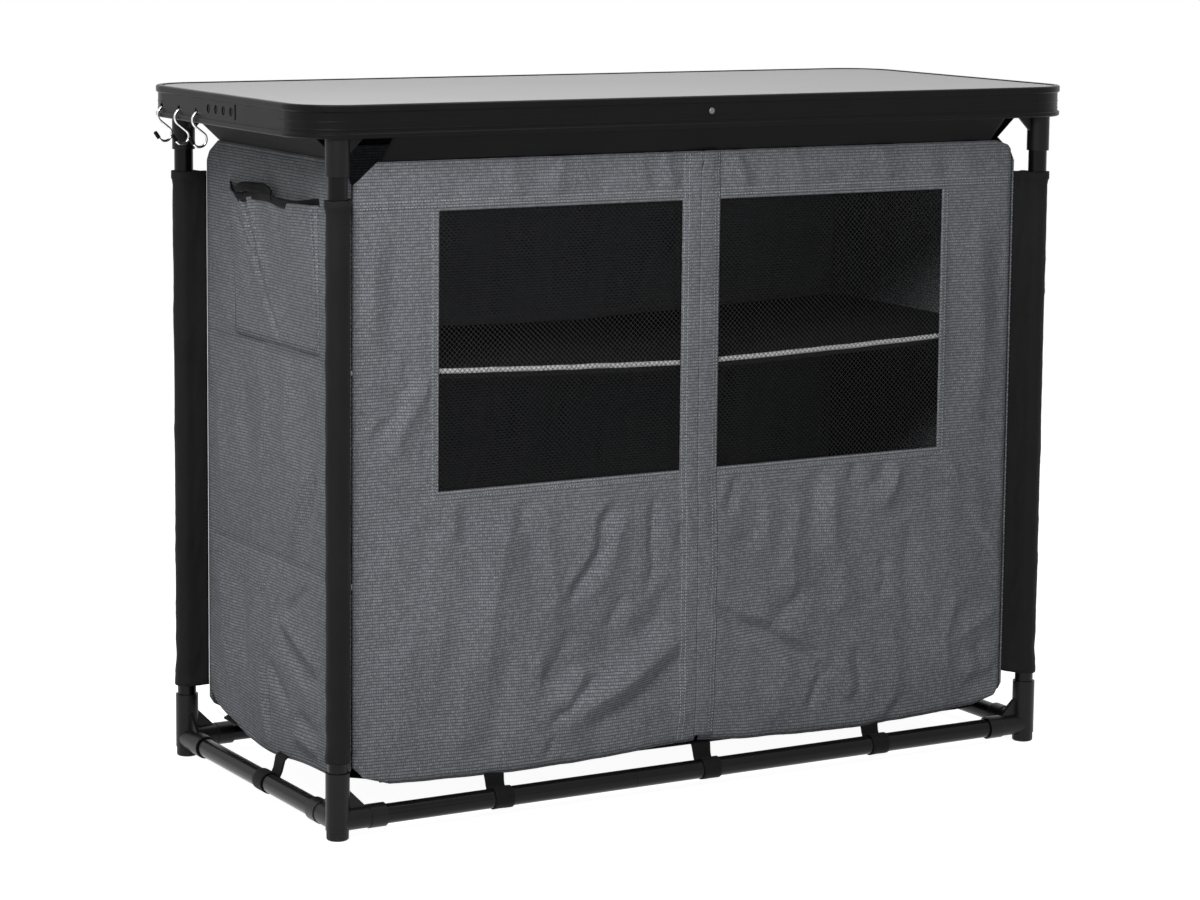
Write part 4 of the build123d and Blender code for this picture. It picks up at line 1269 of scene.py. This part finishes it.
def addValance(name, along, profile, half, seed, folds):
    # profile is the strip's cross-section from the header's lower edge upwards: (out, z) pairs
    s = valanceSet
    out = along.cross(up)
    lengths = [0]
    for (o1, z1), (o2, z2) in zip(profile, profile[1:]):
        lengths.append(lengths[-1] + math.hypot(o2 - o1, z2 - z1))
    total = lengths[-1]
    scaledFolds = inMetres(folds)

    def place(u, v):
        for i in range(len(profile) - 1):
            if v <= lengths[i + 1] + 1e-9:
                break
        t = (v - lengths[i]) / (lengths[i + 1] - lengths[i])
        o = profile[i][0] + t * (profile[i + 1][0] - profile[i][0])
        z = profile[i][1] + t * (profile[i + 1][1] - profile[i][1])
        calm = smoothStep((v - s["header"]) / (10 * mm)) * smoothStep((total - v) / (8 * mm))
        wave = s["wave"] * ripple(u, v, seed, 60 * mm, 60 * mm) + foldLift(u, v, scaledFolds)
        wave -= 2.2 * mm * math.sin(math.pi * min(1, max(0, (v - s["header"]) / (total - s["header"]))))
        return along * u + out * (o + wave * calm * 0.7) + up * (z + wave * calm * 0.7)

    strip = clothGrid(
        name + "_cloth", stops(-half, half, s["cell"]), stops(0, total, s["cell"], lengths[1:-1]), place
    )
    thicken(strip, s["wall"])
    finishPiece(strip, "root", [blackCloth, liningCloth], [name])
    row = [(-half + 4 * mm, s["header"] + 3 * mm, half - 4 * mm, s["header"] + 3 * mm)]
    stitchRows(name + "_stitches", row, place, "root", darkThread)


# folds in millimetres: width, height (negative is a valley), then places along the strip and up
valanceFolds = {
    "long": [
        (8, -3.2, [(250, 16), (330, 54)]),
        (8, 4.0, [(330, 16), (392, 50)]),
        (8, -3.4, [(-390, 50), (-330, 18)]),
        (9, 3.2, [(-360, 50), (-290, 18)]),
        (9, 2.4, [(60, 18), (90, 50)]),
        (10, 2.6, [(-200, 20), (-160, 52)]),
        (9, -2.4, [(170, 18), (215, 50)]),
    ],
    "side": [
        (7, 2.0, [(-150, 20), (-110, 80)]),
        (8, -2.2, [(90, 30), (150, 80)]),
    ],
}


def addValances():
    s = valanceSet
    top = cabinet["top"]
    head = top - s["header"]
    rim = -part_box("front_valance")[0].y - 0.1 * mm
    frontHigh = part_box("front_valance")[1].z
    for name, along, wall, seed in (
        ("front_valance", Vector((1, 0, 0)), 190.3 * mm, 91.0),
        ("back_valance", Vector((-1, 0, 0)), 190.7 * mm, 95.0),
    ):
        profile = [(wall, head), (wall, top), (rim, top + 30 * mm), (rim, frontHigh)]
        addValance(name, along, profile, s["half"], seed, valanceFolds["long"])
    for name, along in (("left_valance", Vector((0, -1, 0))), ("right_valance", Vector((0, 1, 0)))):
        low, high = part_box(name)
        outer = max(abs(low.x), abs(high.x))
        near = sideX - 1.4 * mm
        profile = [(near, head), (near, top), (outer - 1.4 * mm, high.z - 0.3 * mm)]
        addValance(name, along, profile, high.y, 99.0, valanceFolds["side"])


addValances()
print("valances ready")

# leg sleeves
sleeveSet = {
    "radius": 12.2 * mm,
    "wall": 0.8 * mm,
    "cell": 4.0 * mm,
    "wave": 0.9 * mm,
    "flare": 2.1 * mm,
    "slant": 1.3 * mm,
    "hem": 10 * mm,
}


def addSleeve(sx, sy, seed):
    s = sleeveSet
    name = f"leg_sleeve_{'front' if sy < 0 else 'back'}_{'left' if sx < 0 else 'right'}"
    low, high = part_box(name)
    legName = name.replace("leg_sleeve", "leg")
    legLow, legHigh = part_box(legName)
    leg = Vector(((legLow.x + legHigh.x) / 2, (legLow.y + legHigh.y) / 2, 0))
    seamY = backY + 0.8 * mm if sy > 0 else 1.2 * mm - cabinet["front"]
    seam = Vector((sx * (sideX + 0.5 * mm), seamY, 0))
    toSeam = seam - leg
    reach = toSeam.length
    axis = toSeam.normalized()
    across = Vector((-axis.y, axis.x, 0))
    half = math.acos(s["radius"] / reach)
    tangent = math.sqrt(reach**2 - s["radius"] ** 2)
    arc = 2 * (math.pi - half) * s["radius"]
    around = 2 * tangent + arc

    def place(u, v):
        # u goes out along one side of the wing, round the leg and back along the other side
        top = smoothStep((v - high.z + s["hem"] + 2 * mm) / (4 * mm)) * s["flare"]
        bottom = smoothStep((low.z + s["hem"] - v) / (6 * mm)) * s["flare"] * 0.6
        wave = s["wave"] * ripple(u, v, seed, 16 * mm, 150 * mm)
        wave += 1.0 * mm * crumple(u * 2.2, v, seed + 2)
        gather = 0.5 * mm * math.sin(u / around * math.tau * 9 + seed) * math.exp(-(high.z - v) / (16 * mm))
        rise = v - low.z
        wander = 2 * noise.noise(Vector((u / (20 * mm), seed, 1)))
        slant = s["slant"] * math.sin(rise / (6.5 * mm) + u / (9 * mm) + wander)
        gather += slant * math.exp(-rise / (38 * mm)) * smoothStep(rise / (14 * mm))
        out = top + bottom + max(wave, -0.5 * mm) * 0.8 + gather
        if tangent <= u <= tangent + arc:
            angle = -half - (u - tangent) / s["radius"]
            normal = axis * math.cos(angle) + across * math.sin(angle)
            point = leg + normal * (s["radius"] + out)
        else:
            # a flat side of the wing between the seam and the leg
            side = -1 if u < tangent else 1
            t = (u if side < 0 else around - u) / tangent
            normal = axis * math.cos(half) + across * math.sin(half) * side
            foot = leg + s["radius"] * normal
            middle = math.sin(math.pi * t)
            point = seam.lerp(foot, t) + normal * (out * min(1, t * 2) + wave * middle * 0.8)
        edgeDrop = 0.8 * mm * noise.noise(Vector((u / (9 * mm), seed, 0)))
        ends = smoothStep((v - high.z + 14 * mm) / (14 * mm)) - smoothStep((low.z + 14 * mm - v) / (14 * mm))
        return point + up * (v + edgeDrop * ends)

    hemTop, hemLow = high.z - s["hem"], low.z + s["hem"]
    uStops = stops(0, around, s["cell"] * 0.7, [tangent, tangent + arc])
    vStops = stops(low.z, high.z, s["cell"] * 1.6, [hemTop, hemTop + 2 * mm, hemLow])
    sleeve = clothGrid(name + "_cloth", uStops, vStops, place)
    thicken(sleeve, s["wall"])
    finishPiece(sleeve, "root", [sleeveCloth, liningCloth], [name])
    rows = [(4 * mm, z, around - 4 * mm, z) for z in (hemTop, hemLow)]
    stitchRows(name + "_stitches", rows, place, "root", darkThread)


for i, (sx, sy) in enumerate(((-1, -1), (1, -1), (-1, 1), (1, 1))):
    addSleeve(sx, sy, 101.0 + 7 * i)
print("leg sleeves ready")

# webbing straps that tie the floor to the rails
strapSet = {
    "width": 23.5 * mm,
    "wall": 1.2 * mm,
    "ring": 11.9 * mm,
    "bendOut": 17.6 * mm,
    "edge": 30 * mm,
    "longPlaces": (-262 * mm, 11 * mm, 247 * mm),
    "sidePlace": -20 * mm,
}


def addStrap(name, centre, inward, seed):
    s = strapSet
    along = up.cross(inward)
    height = cabinet["low"] - centre.z
    turn = math.radians(22)
    points = [(s["edge"], height - 0.9 * mm), (s["bendOut"] + 3 * mm, height - 3.6 * mm)]
    points += [(s["bendOut"], height - 6.5 * mm), (14.6 * mm, 12 * mm)]
    count = 26
    for i in range(count + 1):
        angle = turn - (math.tau - 0.12) * i / count
        points.append((s["ring"] * math.cos(angle), s["ring"] * math.sin(angle)))
    lengths = [0]
    for a, b in zip(points, points[1:]):
        lengths.append(lengths[-1] + math.hypot(b[0] - a[0], b[1] - a[1]))
    total = lengths[-1]

    def place(u, v):
        for i in range(len(points) - 1):
            if v <= lengths[i + 1] + 1e-9:
                break
        t = (v - lengths[i]) / (lengths[i + 1] - lengths[i])
        x = points[i][0] + t * (points[i + 1][0] - points[i][0])
        z = points[i][1] + t * (points[i + 1][1] - points[i][1])
        widen = 1 + 0.12 * smoothStep((lengths[3] - v) / (20 * mm))
        wave = 0.35 * mm * noise.noise(Vector((u / (9 * mm), v / (14 * mm), seed)))
        return centre + inward * (x + wave * 0.5) + up * (z + wave) + along * u * widen

    across = stops(-s["width"] / 2, s["width"] / 2, 3 * mm)
    strap = clothGrid(name, across, stops(0, total, 2.4 * mm, lengths), place)
    thicken(strap, s["wall"], 0.0, 0)
    return strap, total


def addStraps():
    s = strapSet
    railZ = (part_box("left_rail")[0].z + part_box("left_rail")[1].z) / 2
    legY = (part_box("leg_front_left")[0].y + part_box("leg_front_left")[1].y) / 2
    legX = (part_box("leg_front_right")[0].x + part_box("leg_front_right")[1].x) / 2
    places = []
    for i, x in enumerate(s["longPlaces"]):
        places.append((f"strap_front_{i + 1}", Vector((x, legY, railZ)), Vector((0, 1, 0))))
        places.append((f"strap_back_{i + 1}", Vector((x, -legY, railZ)), Vector((0, -1, 0))))
    places.append(("strap_left", Vector((-legX, s["sidePlace"], railZ)), Vector((1, 0, 0))))
    places.append(("strap_right", Vector((legX, s["sidePlace"], railZ)), Vector((-1, 0, 0))))
    for i, (name, centre, inward) in enumerate(places):
        strap, total = addStrap(name, centre, inward, 130.0 + i)
        finishPiece(strap, "root", [webbingCloth], ["rail_straps"])


addStraps()
print("straps ready")

# pocket on the left panel and the bound mouth
pocketSet = {"cell": 1.8 * mm, "wall": 0.9 * mm, "foot": 2.4 * mm, "mouth": 11 * mm}
# folds in millimetres: width, height (negative is a valley), then places along the panel and up
pocketFolds = [
    (5, -9.5, [(-66, 704), (-46, 640), (-24, 576)]),
    (8, 4.5, [(-50, 704), (-30, 640), (-6, 570)]),
    (5, -5.0, [(-24, 576), (18, 522)]),
    (5, -4.0, [(-108, 680), (-60, 632), (-21, 593)]),
    (7, 1.6, [(-90, 640), (-78, 560)]),
    (9, 1.8, [(60, 690), (40, 600)]),
    (7, -1.5, [(98, 690), (104, 600)]),
    (8, 1.4, [(10, 690), (14, 620)]),
]


def pocketMouthLevel(u):
    # the mouth dips beside the pleat and rises to both ends
    byPleat = -6 * mm * math.exp(-(((u + 64 * mm) / (26 * mm)) ** 2))
    return byPleat - 2.5 * mm * math.exp(-(((u - 45 * mm) / (40 * mm)) ** 2))


def addPocket():
    s = pocketSet
    low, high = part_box("side_pocket")
    halves = (-high.y, -low.y)
    folds = inMetres(pocketFolds)
    tall = high.z - low.z

    def lift(u, v):
        t = (v - low.z) / tall
        edge = smoothStep((u - halves[0]) / (9 * mm)) * smoothStep((halves[1] - u) / (9 * mm))
        deep = s["foot"] + (s["mouth"] - s["foot"]) * t**1.4
        ruffle = 0.8 * mm * ripple(u, v, 141.0, 50 * mm, 120 * mm) * t
        deep += ruffle + foldLift(u, v, folds) * (0.4 + 0.6 * t)
        rise = smoothStep((v - low.z) / (6 * mm))
        return 0.5 * mm + (max(deep, 0.6 * mm) - 0.5 * mm) * edge * rise

    def drop(u, v):
        return pocketMouthLevel(u) * smoothStep((v - low.z) / tall)

    place = hung(Vector((-sideX - 0.6 * mm, 0, 0)), Vector((0, -1, 0)), lift, drop)
    across = stops(halves[0], halves[1], s["cell"])
    rise = stops(low.z, high.z - 4 * mm, s["cell"])
    sheet = clothGrid("side_pocket_canvas", across, rise, place)
    thicken(sheet, s["wall"])
    finishPiece(sheet, "root", [canvas, liningCloth], ["side_pocket"])
    rows = []
    for inset in (2.2 * mm, 6.4 * mm):
        rows.append((halves[0] + inset, low.z + inset, halves[0] + inset, high.z - 12 * mm))
        rows.append((halves[1] - inset, low.z + inset, halves[1] - inset, high.z - 12 * mm))
        rows.append((halves[0] + inset, low.z + inset, halves[1] - inset, low.z + inset))
    stitchRows("side_pocket_stitches", rows, place, "root", darkThread)


addPocket()

bindingSet = {"height": 10 * mm, "wall": 1.5 * mm, "cell": 2.5 * mm}
# the ribbon's middle line: y, distance out from the panel, z, tilt outwards at the top, in millimetres
bindingPath = [
    (121, 1.4, 686, 0.0),
    (112, 5.0, 688, 1.0),
    (100, 8.0, 686, 2.5),
    (88, 11.5, 681, 3.0),
    (76, 13.5, 678, 2.0),
    (64, 12.5, 679, 0.0),
    (48, 12.0, 683, -1.5),
    (20, 12.4, 684, 0.5),
    (-8, 12.8, 684, 0.5),
    (-30, 12.0, 681, 1.0),
    (-57, 10.5, 680, 0.6),
    (-83, 7.5, 682, 0.0),
    (-104, 3.6, 685, 0.0),
    (-118, 1.5, 687, 0.0),
]
# the loose end of the ribbon that is folded back over the mouth
bindingTuck = [
    (80, 14.4, 684, 1.0),
    (66, 14.6, 690, -1.0),
    (52, 13.0, 692, -3.0),
    (30, 12.4, 692, -4.0),
    (10, 12.0, 693, -3.0),
    (-6, 12.2, 690, -1.0),
    (-16, 13.4, 686, 0.0),
]


def smoothLine(rows, t):
    # a point on a smooth line through the rows, t from 0 to 1
    x = t * (len(rows) - 1)
    i = min(int(x), len(rows) - 2)
    f = x - i
    a, b, c, d = (rows[min(max(i + k, 0), len(rows) - 1)] for k in (-1, 0, 1, 2))
    return [
        0.5 * (2 * q + (r - p) * f + (2 * p - 5 * q + 4 * r - s) * f * f + (3 * q - p - 3 * r + s) * f**3)
        for p, q, r, s in zip(a, b, c, d)
    ]


def addRibbon(name, rows, replaced, seed):
    s = bindingSet
    height = s["height"]
    scaled = [[value * mm for value in row] for row in rows]
    reach = sum(math.dist(a[:3], b[:3]) for a, b in zip(scaled, scaled[1:]))

    def place(u, v):
        y, out, z, tilt = smoothLine(scaled, min(1, max(0, u / reach)))
        wave = 0.5 * mm * noise.noise(Vector((u / (8 * mm), v / (8 * mm), seed)))
        return Vector((-sideX - out - wave - tilt * v / height * 2, y, z + v))

    ribbon = clothGrid(name, stops(0, reach, s["cell"]), stops(-height / 2, height / 2, 2 * mm), place)
    thicken(ribbon, s["wall"], 0.0, 0)
    finishPiece(ribbon, "root", [bindingCloth], replaced)

    def above(u, v):
        return place(u, v) + Vector((-s["wall"] / 2, 0, 0))

    rows = [(3 * mm, -height / 2 + 1.8 * mm, reach - 3 * mm, -height / 2 + 1.8 * mm)]
    stitchRows(name + "_stitches", rows, above, "root", darkThread)


addRibbon("pocket_binding_ribbon", bindingPath, ["pocket_binding"], 151.0)
addRibbon("pocket_binding_tuck", bindingTuck, [], 155.0)
print("pocket ready")

# the strips along the zip
stripSet = {
    "cell": 3.4 * mm,
    "wall": 0.8 * mm,
    "sewn": 24.8 * mm,
    "slit": 0.8 * mm,
    "flapEdge": -2.4 * mm,
    "raise": {-1: 2.2 * mm, 1: 3.3 * mm},
    "waver": 0.5 * mm,
    "flapLow": 58 * mm,
}


def addStrip(side, name, body, inner, low, replaced, seed):
    # sewn down at its outer edge, free at its inner one beside the zip
    s = stripSet
    outer, top = s["sewn"], doorSet["top"]

    def lift(u, v):
        x = abs(u) if side < 0 else u
        t = smoothStep((outer - x) / (14 * mm))
        wave = 0.5 * mm * ripple(u, v, seed, 22 * mm, 60 * mm)
        wave += 0.4 * mm * noise.noise(Vector((u / (30 * mm), v / (14 * mm), seed)))
        calm = smoothStep((outer - x) / (8 * mm)) * smoothStep((x - inner) / (7 * mm))
        return 0.25 * mm + t * s["raise"][side] + wave * calm

    under = doorPlace(side)

    def place(u, v):
        x = abs(u) if side < 0 else u
        near = smoothStep((outer - x) / (outer - inner))
        waver = s["waver"] * noise.noise(Vector((seed, v / (26 * mm), 1))) * near
        if side > 0:
            lean = 4.0 * mm * smoothStep((v - top + 26 * mm) / (22 * mm)) * near
        else:
            lean = 4.2 * mm * smoothStep((v - top + 13 * mm) / (3 * mm)) * near
        return under(u, v) + Vector((waver + lean, -lift(u, v), 0))

    ends = (-outer, -inner) if side < 0 else (inner, outer)
    sheet = clothGrid(name, stops(ends[0], ends[1], s["cell"] * 0.8), stops(low, top, s["cell"]), place)
    thicken(sheet, s["wall"])
    finishPiece(sheet, body, [canvas, liningCloth], replaced)
    rows = []
    for x in (22.6 * mm, 17.4 * mm):
        rows.append((side * x, low + 4 * mm, side * x, top - 3 * mm))
    stitchRows(name + "_stitches", rows, place, body, thread)


addStrip(-1, "door_left_hem", "door_left", stripSet["slit"], cabinet["low"], [], 161.0)
addStrip(1, "door_right_flap", "door_right", stripSet["flapEdge"], stripSet["flapLow"], ["zip_flap"], 165.0)
print("zip strips ready")
